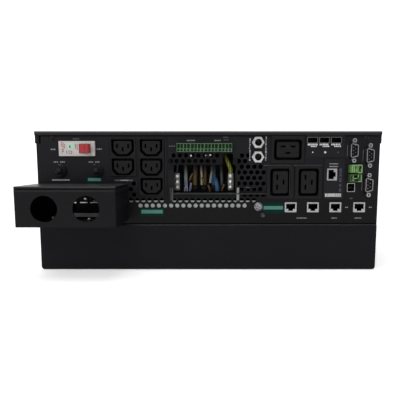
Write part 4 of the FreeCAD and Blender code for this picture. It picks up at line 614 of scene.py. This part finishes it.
def add_tube(mesh, points, radius):
    """Adds a round cord through points given in millimetres."""
    rings = []
    for i, point in enumerate(points):
        ahead = Vector(points[min(i + 1, len(points) - 1)]) - Vector(points[max(i - 1, 0)])
        side = ahead.cross(Vector((0.0, 1.0, 0.0))).normalized()
        over = ahead.cross(side).normalized()
        ring = []
        for across, up in circle(radius, CORD_STEPS):
            spot = Vector(point) + side * across + over * up
            ring.append(mesh.verts.new(spot * MM))
        rings.append(ring)
    close_rings(mesh, rings)


def add_prism(mesh, points, y0, y1):
    """Adds a flat plate with an outline of x and z points between two depths, in millimetres."""
    front = [mesh.verts.new((x * MM, y0 * MM, z * MM)) for x, z in points]
    back = [mesh.verts.new((x * MM, y1 * MM, z * MM)) for x, z in points]
    mesh.faces.new(front)
    mesh.faces.new(back[::-1])
    count = len(points)
    for i in range(count):
        j = (i + 1) % count
        mesh.faces.new((front[j], front[i], back[i], back[j]))


def add_mark(mesh, x, z, width, height, y, lift=MARK_LIFT):
    """Adds a flat bar of print, painted highlight or painted shadow, centred on x and z, standing a hair
    off the face at y.
    """
    low = (x - width / 2, y - lift, z - height / 2)
    high = (x + width / 2, y + MARK_ROOT, z + height / 2)
    add_slab(mesh, low, high)


def add_row(mesh, x, z, width, y, height, upright=False):
    """Adds a row of uneven short bars, which stands for a printed word."""
    start = -width / 2
    while start < width / 2 - BAR_REST:
        bar = random.uniform(*BAR_WIDTH)
        gap = random.uniform(*BAR_GAP)
        centre = start + bar / 2
        tall = height * random.uniform(*BAR_HEIGHT)
        if upright:
            add_mark(mesh, x, z + centre, tall, bar, y)
        else:
            add_mark(mesh, x + centre, z, bar, tall, y)
        start += bar + gap


def print_rows(name, finish, y, rows, height, upright=False):
    """One printed piece made of rows given by centre, height above the base and width."""
    mesh = bmesh.new()
    for x, z, width in rows:
        add_row(mesh, x, z, width, y, height, upright)
    keep(mesh, name, finish)


def flat_marks(name, finish, y, marks, lift=MARK_LIFT, bevel=0.0):
    """One flat piece of print, painted highlights or painted shadows, made of bars given by centre,
    height above the base, width and height.
    """
    mesh = bmesh.new()
    for x, z, width, height in marks:
        add_mark(mesh, x, z, width, height, y, lift)
    keep(mesh, name, finish, bevel)


def cords(name, finish, radius, paths):
    """One piece made of round cords of one radius, each through its own points."""
    mesh = bmesh.new()
    for points in paths:
        add_tube(mesh, points, radius)
    keep(mesh, name, finish)


def solid_boxes(node):
    """Low and high corner of each separate solid of a node, in millimetres."""
    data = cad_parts[node].data
    owner = list(range(len(data.vertices)))

    def root(i):
        while owner[i] != i:
            owner[i] = owner[owner[i]]
            i = owner[i]
        return i

    for edge in data.edges:
        owner[root(edge.vertices[0])] = root(edge.vertices[1])
    groups = {}
    for vertex in data.vertices:
        key = tuple(round(c, 6) for c in vertex.co)
        groups.setdefault(root(vertex.index), set()).add(key)
    merged = []
    for points in groups.values():
        for other in [other for other in merged if other & points]:
            points = points | other
            merged.remove(other)
        merged.append(points)
    boxes = []
    for points in merged:
        low = [min(p[k] for p in points) / MM for k in range(3)]
        high = [max(p[k] for p in points) / MM for k in range(3)]
        boxes.append((low, high))
    return boxes


def tall_boxes(node):
    """Low and high corner of each solid of a node that is no screw, in millimetres."""
    return [(low, high) for low, high in solid_boxes(node) if high[2] - low[2] > TALL_SOLID]


def panel_print():
    """Printing of the rear panel, as plain bars."""
    print_rows("panel_print", SOFT_PRINT, FACE, [
        (-136.0, 154.0, 7.5), (-191.4, 137.9, 5.5), (-182.8, 137.9, 6.0), (-194.5, 153.6, 5.0),
        (-147.3, 137.9, 5.5), (-139.0, 137.9, 6.0), (-21.8, 164.6, 10.0), (11.9, 164.6, 8.0)], height=1.5)
    print_rows("panel_soft_print", SOFT_PRINT, FACE, [
        (119.0, 66.8, 12.5), (160.6, 66.8, 7.0), (190.7, 66.8, 8.0), (176.0, 80.6, 3.6),
        (206.3, 80.6, 4.0)], height=1.2)
    print_rows("panel_grey_print", GREY_PRINT, FACE, [
        (-45.5, 157.5, 7.5), (22.0, 168.5, 6.0), (22.0, 165.2, 5.0), (181.0, 92.0, 3.0),
        (-165.0, 166.6, 7.5), (-187.0, 134.6, 3.0), (-143.0, 134.6, 3.0)], height=1.3)
    mesh = bmesh.new()
    random.seed(SCALE_SEED)
    bottom, top = 139.5, 167.0
    for x in (52.0, 72.2):
        z = bottom
        while z < top:
            tall = random.uniform(1.0, 3.2)
            shift = random.uniform(-0.3, 0.3)
            wide = random.uniform(0.9, 1.9)
            add_mark(mesh, x + shift, z + tall / 2, wide, tall, FACE)
            z += tall + random.uniform(0.5, 1.2)
    keep(mesh, "socket_scale_print", SOFT_PRINT)
    flat_marks("panel_bars", SOFT_PRINT, FACE, [
        (-186.1, 115.3, 22.4, 1.7), (-106.0, 114.9, 10.0, 1.3)])
    flat_marks("panel_dash", GREY_PRINT, FACE, [
        (-106.5, 114.9, 23.0, 1.5)], lift=0.04)


def plate_edges():
    """Painted highlights on the edges of the outlet plates and painted shadows along the joints of the
    covers, as thin bars.
    """
    plate = FACE - 1.0
    flat_marks("plate_edge_light", EDGE_HIGHLIGHT, plate, [
        (86.5, 133.6, 34.0, 1.3), (125.0, 133.6, 36.0, 1.3),
        (102.6, 112.0, 0.6, 34.0), (107.6, 112.0, 0.6, 34.0)], lift=0.05)
    flat_marks("joint_shadows", PAINTED_SHADOW, FACE, [
        (0.0, 170.1, 2 * RIGHT / MM - 6.0, 0.9), (0.0, 59.3, 2 * RIGHT / MM - 4.0, 1.5),
        (LEFT / MM + 4.6, 165.4, 2.4, 9.6)], lift=0.05)


def card_print():
    """Printing and the label of the two cards."""
    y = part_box("control_card")[0].y / MM
    mesh = bmesh.new()
    for x in (130.2, 144.9, 159.6):
        add_row(mesh, x, 159.6, 12.0, y, 2.3)
        add_row(mesh, x + 1.8, 157.3, 8.0, y, 1.6)
    keep(mesh, "card_print", WHITE_PRINT)
    print_rows("card_side_print", BLUE_PRINT, y, [
        (166.4, 128.5, 4.5), (166.4, 122.5, 5.5), (166.4, 115.0, 4.5), (166.4, 108.5, 3.0),
        (166.4, 102.5, 3.5)], height=3.0, upright=True)
    label_lift = 0.1
    flat_marks("card_label", WHITE_LABEL, y, [
        (157.7, 96.2, 20.4, 4.2)], lift=label_lift, bevel=LABEL_EDGE)
    flat_marks("card_label_lines", GREY_PRINT, y - label_lift, [
        (151.0, 96.2, 0.5, 3.4), (161.0, 96.2, 0.5, 3.4), (163.6, 96.2, 0.4, 3.4),
        (166.0, 96.2, 0.5, 3.4)], lift=0.02)


def teal_labels():
    """Three plain labels on the panel, each with a light stripe."""
    mesh = bmesh.new()
    stripes = bmesh.new()
    pale = bmesh.new()
    label_lift = 0.12
    # Two sides, bottom, top, margin beside the stripe, height of the stripe, and its mesh
    for x0, x1, z0, z1, margin, tall, stripe in (
            (-154.2, -133.2, 111.2, 120.4, 2.4, 3.8, pale),
            (-87.0, -56.0, 69.6, 80.2, 1.9, 4.6, stripes),
            (69.6, 95.8, 73.2, 86.6, 0.8, 4.4, stripes)):
        x = (x0 + x1) / 2
        z = (z0 + z1) / 2
        add_mark(mesh, x, z, x1 - x0, z1 - z0, FACE, label_lift)
        add_mark(stripe, x, z + 0.1, x1 - x0 - 2 * margin, tall, FACE - label_lift, 0.02)
    keep(mesh, "panel_labels", TEAL, bevel=LABEL_EDGE)
    keep(stripes, "label_stripes", TEAL_LIGHT)
    keep(pale, "pale_label_stripe", TEAL_PALE)


def breaker_details():
    """Round window with its green half, and the plain print of the breaker."""
    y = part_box("input_breaker")[0].y / MM
    mesh = bmesh.new()
    rim = [(3.7, -0.25), (4.15, -0.2), (4.2, -0.05), (4.2, 0.05)]
    add_lathe(mesh, rim, (-170.6, y, 157.0), steps=28)
    keep(mesh, "breaker_window", MINT)
    mesh = bmesh.new()
    points = []
    for i in range(11):
        angle = math.pi / 2 + math.pi * i / 10
        points.append((-171.0 + 1.7 * math.cos(angle), 156.9 + 2.0 * math.sin(angle)))
    add_prism(mesh, points, y - 0.32, y - 0.24)
    keep(mesh, "breaker_half_moon", FOREST)
    print_rows("breaker_rose_print", ROSE_PRINT, y, [
        (-182.0, 159.6, 5.0), (-180.2, 156.0, 11.0), (-181.6, 151.0, 5.0), (-162.8, 156.4, 7.0),
        (-178.4, 157.5, 5.0)], height=1.3, upright=True)
    flat_marks("breaker_marks", BROWN_PRINT, y, [
        (-176.0, 149.9, 0.8, 3.6), (-173.2, 149.9, 0.8, 3.8), (-169.8, 149.9, 0.8, 3.8),
        (-171.5, 151.5, 3.4, 0.7), (-171.5, 148.3, 3.4, 0.7)])
    flat_marks("breaker_grey_print", BLUE_PRINT, y, [
        (-164.8, 157.0, 0.6, 6.8)])


def jack_contacts():
    """Gold spring contacts in the mouths of the network ports."""
    mesh = bmesh.new()
    count, pitch, half, near, far = 8, 1.02, 0.2, 3.7, 4.1
    y0 = FACE + 1.8
    y1 = y0 + 9.0
    for low, high in solid_boxes("network_ports"):
        x = (low[0] + high[0]) / 2
        z = (low[2] + high[2]) / 2
        lying = high[0] - low[0] > high[2] - low[2]
        for i in range(count):
            step = (i - (count - 1) / 2) * pitch
            if lying:
                add_slab(mesh, (x + step - half, y0, z + near), (x + step + half, y1, z + far))
            else:
                add_slab(mesh, (x - far, y0, z + step - half), (x - near, y1, z + step + half))
    keep(mesh, "jack_contacts", GOLD)


def indicators():
    """Small lenses on the network card."""
    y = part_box("network_card")[0].y / MM
    z = 149.9
    steps = 16
    mesh = bmesh.new()
    for x, radius in ((130.6, 0.9), (146.3, 1.5)):
        dome = [(radius * 0.3, -0.8), (radius * 0.75, -0.6), (radius, 0.0), (radius, 0.02)]
        add_lathe(mesh, dome, (x, y, z), steps)
    keep(mesh, "card_lenses", LENS)
    mesh = bmesh.new()
    add_lathe(mesh, [(0.2, -0.8), (0.6, -0.6), (0.8, 0.0), (0.8, 0.02)], (162.3, y, z), steps)
    keep(mesh, "card_dull_lens", GREY_PRINT)


def socket_rings():
    """Contacts in the middle of the two round sockets."""
    low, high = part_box("sensor_sockets")
    x = (low.x + high.x) / 2 / MM
    mesh = bmesh.new()
    stud = [(0.9, -4.2), (1.7, -4.2), (1.9, -3.9), (1.9, 4.0)]
    for z in (162.0, 144.1):
        add_lathe(mesh, stud, (x, FACE, z), steps=20)
    keep(mesh, "socket_contacts", INSERT)


def serial_details():
    """Painted highlights along the flange edges, and the faces and pins of the serial ports."""
    edges = bmesh.new()
    faces = bmesh.new()
    pins = bmesh.new()
    pin = 0.35
    for low, high in tall_boxes("serial_ports"):
        x = (low[0] + high[0]) / 2
        z = (low[2] + high[2]) / 2
        wide = (high[0] - low[0]) * 0.46
        tall = (high[2] - low[2]) * 0.74
        y = low[1] + 1.6
        add_slab(faces, (x - wide / 2, y, z - tall / 2), (x + wide / 2, y + 0.8, z + tall / 2))
        for column, count in ((-0.24, 5), (0.24, 4)):
            across = x + wide * column
            for i in range(count):
                up = z + (i - (count - 1) / 2) * tall * 0.19
                add_slab(pins, (across - pin, y - 0.5, up - pin), (across + pin, y, up + pin))
        # Light lines along both edges of each flange: painted highlights
        for side in (low[0] - 0.8, high[0] + 0.5):
            add_mark(edges, side, z, 0.7, 14.0, FACE, lift=0.1)
    keep(edges, "serial_flange_highlights", GREY_PRINT)
    keep(faces, "serial_faces", PIN_FIELD, bevel=0.0001)
    keep(pins, "serial_pins", NICKEL)


def socket_lips():
    """Bright lips between the stacked sockets."""
    mesh = bmesh.new()
    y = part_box("usb_sockets")[0].y / MM
    for z in (135.6, 132.2):
        add_slab(mesh, (151.8, y - 0.25, z - 0.4), (162.6, y + 0.3, z + 0.4))
    keep(mesh, "socket_lips", NICKEL, bevel=0.00008)


def relay_details():
    """Painted highlights on the edges and painted shade in the entries of the relay plugs, as thin bars.
    """
    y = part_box("relay_plugs")[0].y / MM
    line = 0.7
    # Upright lines from one height to another, then level lines with a width
    uprights = ((178.6, 126.0, 133.0), (181.2, 125.4, 133.4), (184.0, 125.4, 133.0),
                (190.4, 125.2, 133.6), (179.8, 114.4, 121.0), (189.8, 114.4, 122.0),
                (186.6, 118.4, 122.0))
    levels = ((184.4, 134.0, 12.0), (188.0, 124.6, 5.0), (182.0, 117.6, 5.0), (188.4, 113.8, 4.0))
    marks = [(x, (z0 + z1) / 2, line, z1 - z0) for x, z0, z1 in uprights]
    marks += [(x, z, width, line) for x, z, width in levels]
    flat_marks("relay_highlights", GREEN_HIGHLIGHT, y, marks, lift=0.05)
    flat_marks("relay_shades", GREEN_SHADE, y, [
        (180.0, 118.6, 5.0, 4.6), (184.6, 115.6, 4.0, 2.6), (188.4, 120.8, 3.0, 2.2),
        (187.6, 129.0, 1.6, 5.0)], lift=0.04)


def screw_details():
    """Domed screws and bar ends inside the cable box, and painted shade in the drive cross of the ground
    screw.
    """
    mesh = bmesh.new()
    for x, depth, z, radius in ((-190.4, 18.0, 69.6, 2.2), (-155.2, 3.0, 92.0, 2.2),
                                (-144.6, 22.0, 68.6, 1.9)):
        dome = [(radius * 0.4, -1.2), (radius * 0.8, -0.9), (radius, 0.0), (radius, 0.5)]
        add_lathe(mesh, dome, (x, FACE - depth, z), steps=18)
    keep(mesh, "box_screws", BRIGHT)
    mesh = bmesh.new()
    z = 87.0
    for x0, x1, height in ((-172.2, -166.4, 1.8), (-162.0, -152.4, 1.4), (-149.0, -139.4, 1.2)):
        add_slab(mesh, (x0, FACE - 3.4, z - height / 2), (x1, FACE - 2.8, z + height / 2))
    keep(mesh, "earth_bar_ends", BRIGHT, bevel=0.0002)
    # Dark cross on the ground screw: painted shade in its drive
    screw_x, screw_z, tilt = 63.4, 80.6, 0.35
    marks = []
    for turn in (tilt, tilt + math.pi / 2):
        for reach in (-2.2, 2.2):
            x = screw_x + reach * math.cos(turn)
            z = screw_z + reach * math.sin(turn)
            marks.append((x, z, 2.4, 0.7))
    flat_marks("ground_screw_cross", PAINTED_SHADOW, FACE - 5.0, marks, lift=0.1)


def wiring_details():
    """Domed clamp screws, further wires and the heads of the feed-through screws."""
    mesh = bmesh.new()
    screws = 3
    bead = [(0.9, -1.5), (2.0, -1.2), (2.8, -0.5), (3.0, 0.3), (3.0, 0.6)]
    for low, high in tall_boxes("terminal_clamps"):
        step = (high[2] - low[2]) / screws
        for i in range(screws):
            place = ((low[0] + high[0]) / 2, low[1], low[2] + step * (i + 0.5))
            add_lathe(mesh, bead, place, steps=20)
    keep(mesh, "clamp_beads", BRIGHT)
    y = FACE + 11.0
    cords("pale_wires", PALE_WIRE, 1.5, [
        [(2.4, y, 111.0), (2.9, y, 116.0), (4.2, y + 1.0, 124.0), (4.6, y + 3.0, 132.0),
         (5.2, y + 9.0, 142.0)]])
    cords("blue_wire_loop", BLUE_WIRE, 2.8, [
        [(11.6, y, 100.6), (11.2, y, 106.0), (10.2, y + 2.5, 112.0), (9.2, y + 7.0, 116.0)]])
    cords("brown_wire_ends", BROWN_WIRE, 1.4, [
        [(x, y + 2.0, z - 3.5), (x + lean * 0.3, y + 0.6, z), (x + lean, y + 2.4, z + 5.0)]
        for x, z, lean in ((-24.0, 118.0, 3.6), (-5.0, 113.0, -3.2), (17.5, 104.0, 3.0),
                           (2.2, 103.0, -2.4))])
    cords("lilac_wires", LILAC_WIRE, 1.3, [
        [(x, y, 100.5), (x + lean * 0.4, y - 0.6, 104.0), (x + lean, y + 1.2, 111.0)]
        for x, lean in ((-30.6, 2.4), (-27.0, -1.6), (-23.6, 1.0))])
    mesh = bmesh.new()
    for x, z, radius in ((-22.6, 146.0, 1.9), (-3.2, 146.2, 1.3), (2.6, 146.8, 1.6)):
        head = [(radius * 0.5, -0.6), (radius, -0.2), (radius, 0.6)]
        add_lathe(mesh, head, (x, FACE + 2.4, z), steps=18)
    keep(mesh, "feed_screw_heads", BRIGHT)


def strip_entries():
    """Painted shade in the wire entries and screw wells of the four plugs of the strip."""
    mesh = bmesh.new()
    plugs, poles, lift = 4, 4, 0.05
    for i in range(plugs):
        low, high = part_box("signal_plug_%d" % (i + 1))
        step = (high.x - low.x) / poles / MM
        tall = (high.z - low.z) / MM
        top = high.z / MM
        y = low.y / MM
        for k in range(poles):
            x = low.x / MM + step * (k + 0.5)
            add_mark(mesh, x, top - tall * 0.36, step * 0.76, tall * 0.52, y, lift)
            add_mark(mesh, x - step * 0.1, top - tall * 0.81, step * 0.56, tall * 0.26, y, lift)
    keep(mesh, "strip_entries", GREEN_SHADE)


def vent_shade_sheet():
    """Dark folded sheet between the panel and the fans, with a sill below, which closes the view through
    and gives the vents painted shade.
    """
    mesh = bmesh.new()
    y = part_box("fan_frames")[0].y / MM - 9.0
    sheet, flange, gap = 1.2, 12.0, 1.0
    left, right = LEFT / MM + 6.0, RIGHT / MM - 6.0
    sill, base, crest = 71.5, 90.5, TOP / MM - 9.0
    add_slab(mesh, (left, y, base), (right, y + sheet, crest))
    add_slab(mesh, (left, y - flange, base), (right, y, base + sheet))
    add_slab(mesh, (left, y - flange, crest - sheet), (right, y, crest))
    add_slab(mesh, (left, y, sill), (right, y + sheet, base - gap))
    keep(mesh, "vent_shade_sheet", BLACK, bevel=0.0003)


def studio():
    """Pale floor that sweeps up far beyond the object, as the camera looks."""
    mesh = bmesh.new()
    half, near, start, radius, top, steps = 14.0, -9.0, 7.0, 2.5, 9.0, 12
    profile = [(near, 0.0)]
    for i in range(steps + 1):
        angle = math.pi / 2 * i / steps
        profile.append((start + radius * math.sin(angle), radius - radius * math.cos(angle)))
    profile.append((start + radius, top))
    rows = []
    for y, z in profile:
        rows.append([mesh.verts.new((-half, y, z)), mesh.verts.new((half, y, z))])
    for a, b in zip(rows, rows[1:]):
        mesh.faces.new((a[0], a[1], b[1], b[0]))
    data = filled(mesh, "studio_floor")
    for face in data.polygons:
        face.use_smooth = True
    floor = link("studio_floor", data)
    data.materials.append(floor_finish("studio_white", (0.92, 0.92, 0.92)))


# Place, target, width in metres and power in watts of each light
LIGHTS = {
    "light_above": ((-0.3, -0.6, 2.2), (0.0, -0.1, 0.1), 1.6, 24.0),
    "light_front": ((-0.4, -2.0, 1.35), (-0.1, -0.3, 0.1), 0.5, 12.0),
    "light_left": ((-1.9, -2.1, 1.3), (0.0, -0.3, 0.1), 1.2, 14.0),
    "light_right": ((1.7, -1.5, 1.4), (0.0, -0.3, 0.1), 1.0, 5.0),
}
SURROUND_STRENGTH = 0.34


def lighting():
    """Even white surroundings and four square soft lights, the strongest one above."""
    world = bpy.data.worlds.new("studio_world")
    bpy.context.scene.world = world
    world.use_nodes = True
    background = world.node_tree.nodes["Background"]
    background.inputs["Color"].default_value = (1.0, 1.0, 1.0, 1.0)
    background.inputs["Strength"].default_value = SURROUND_STRENGTH
    for name, (place, target, size, power) in LIGHTS.items():
        data = bpy.data.lights.new(name, "AREA")
        data.size = size
        data.energy = power
        light = link(name, data)
        light.location = place
        direction = Vector(target) - Vector(place)
        light.rotation_euler = direction.to_track_quat("-Z", "Y").to_euler()


# Camera: pixels of a square frame, then metres behind the panel, above the base and to the side
FOCAL_PIXELS = 364.8
FRAME_PIXELS = 400.0
AXIS_COLUMN = 211.25
CAMERA_DISTANCE = 0.4606
CAMERA_HEIGHT = 0.1367
CAMERA_SIDE = 0.0038
CAMERA_PITCH = math.radians(5.8)
SENSOR = 36.0
CLIP_NEAR = 0.01
CLIP_FAR = 60.0


def camera():
    """Camera close to the rear panel, slightly above its middle and tilted down a little."""
    data = bpy.data.cameras.new("camera")
    view = link("camera", data)
    data.sensor_width = SENSOR
    data.lens = SENSOR * FOCAL_PIXELS / FRAME_PIXELS
    data.shift_x = -(AXIS_COLUMN - FRAME_PIXELS / 2) / FRAME_PIXELS
    data.clip_start = CLIP_NEAR
    data.clip_end = CLIP_FAR
    view.location = (CAMERA_SIDE, REAR - CAMERA_DISTANCE, CAMERA_HEIGHT)
    view.rotation_euler = (math.pi / 2 - CAMERA_PITCH, 0.0, 0.0)
    bpy.context.scene.camera = view


dress_nodes()
panel_print()
plate_edges()
card_print()
teal_labels()
breaker_details()
jack_contacts()
indicators()
socket_rings()
serial_details()
socket_lips()
relay_details()
screw_details()
wiring_details()
strip_entries()
vent_shade_sheet()
studio()
lighting()
camera()
bpy.context.scene.view_settings.view_transform = "Standard"
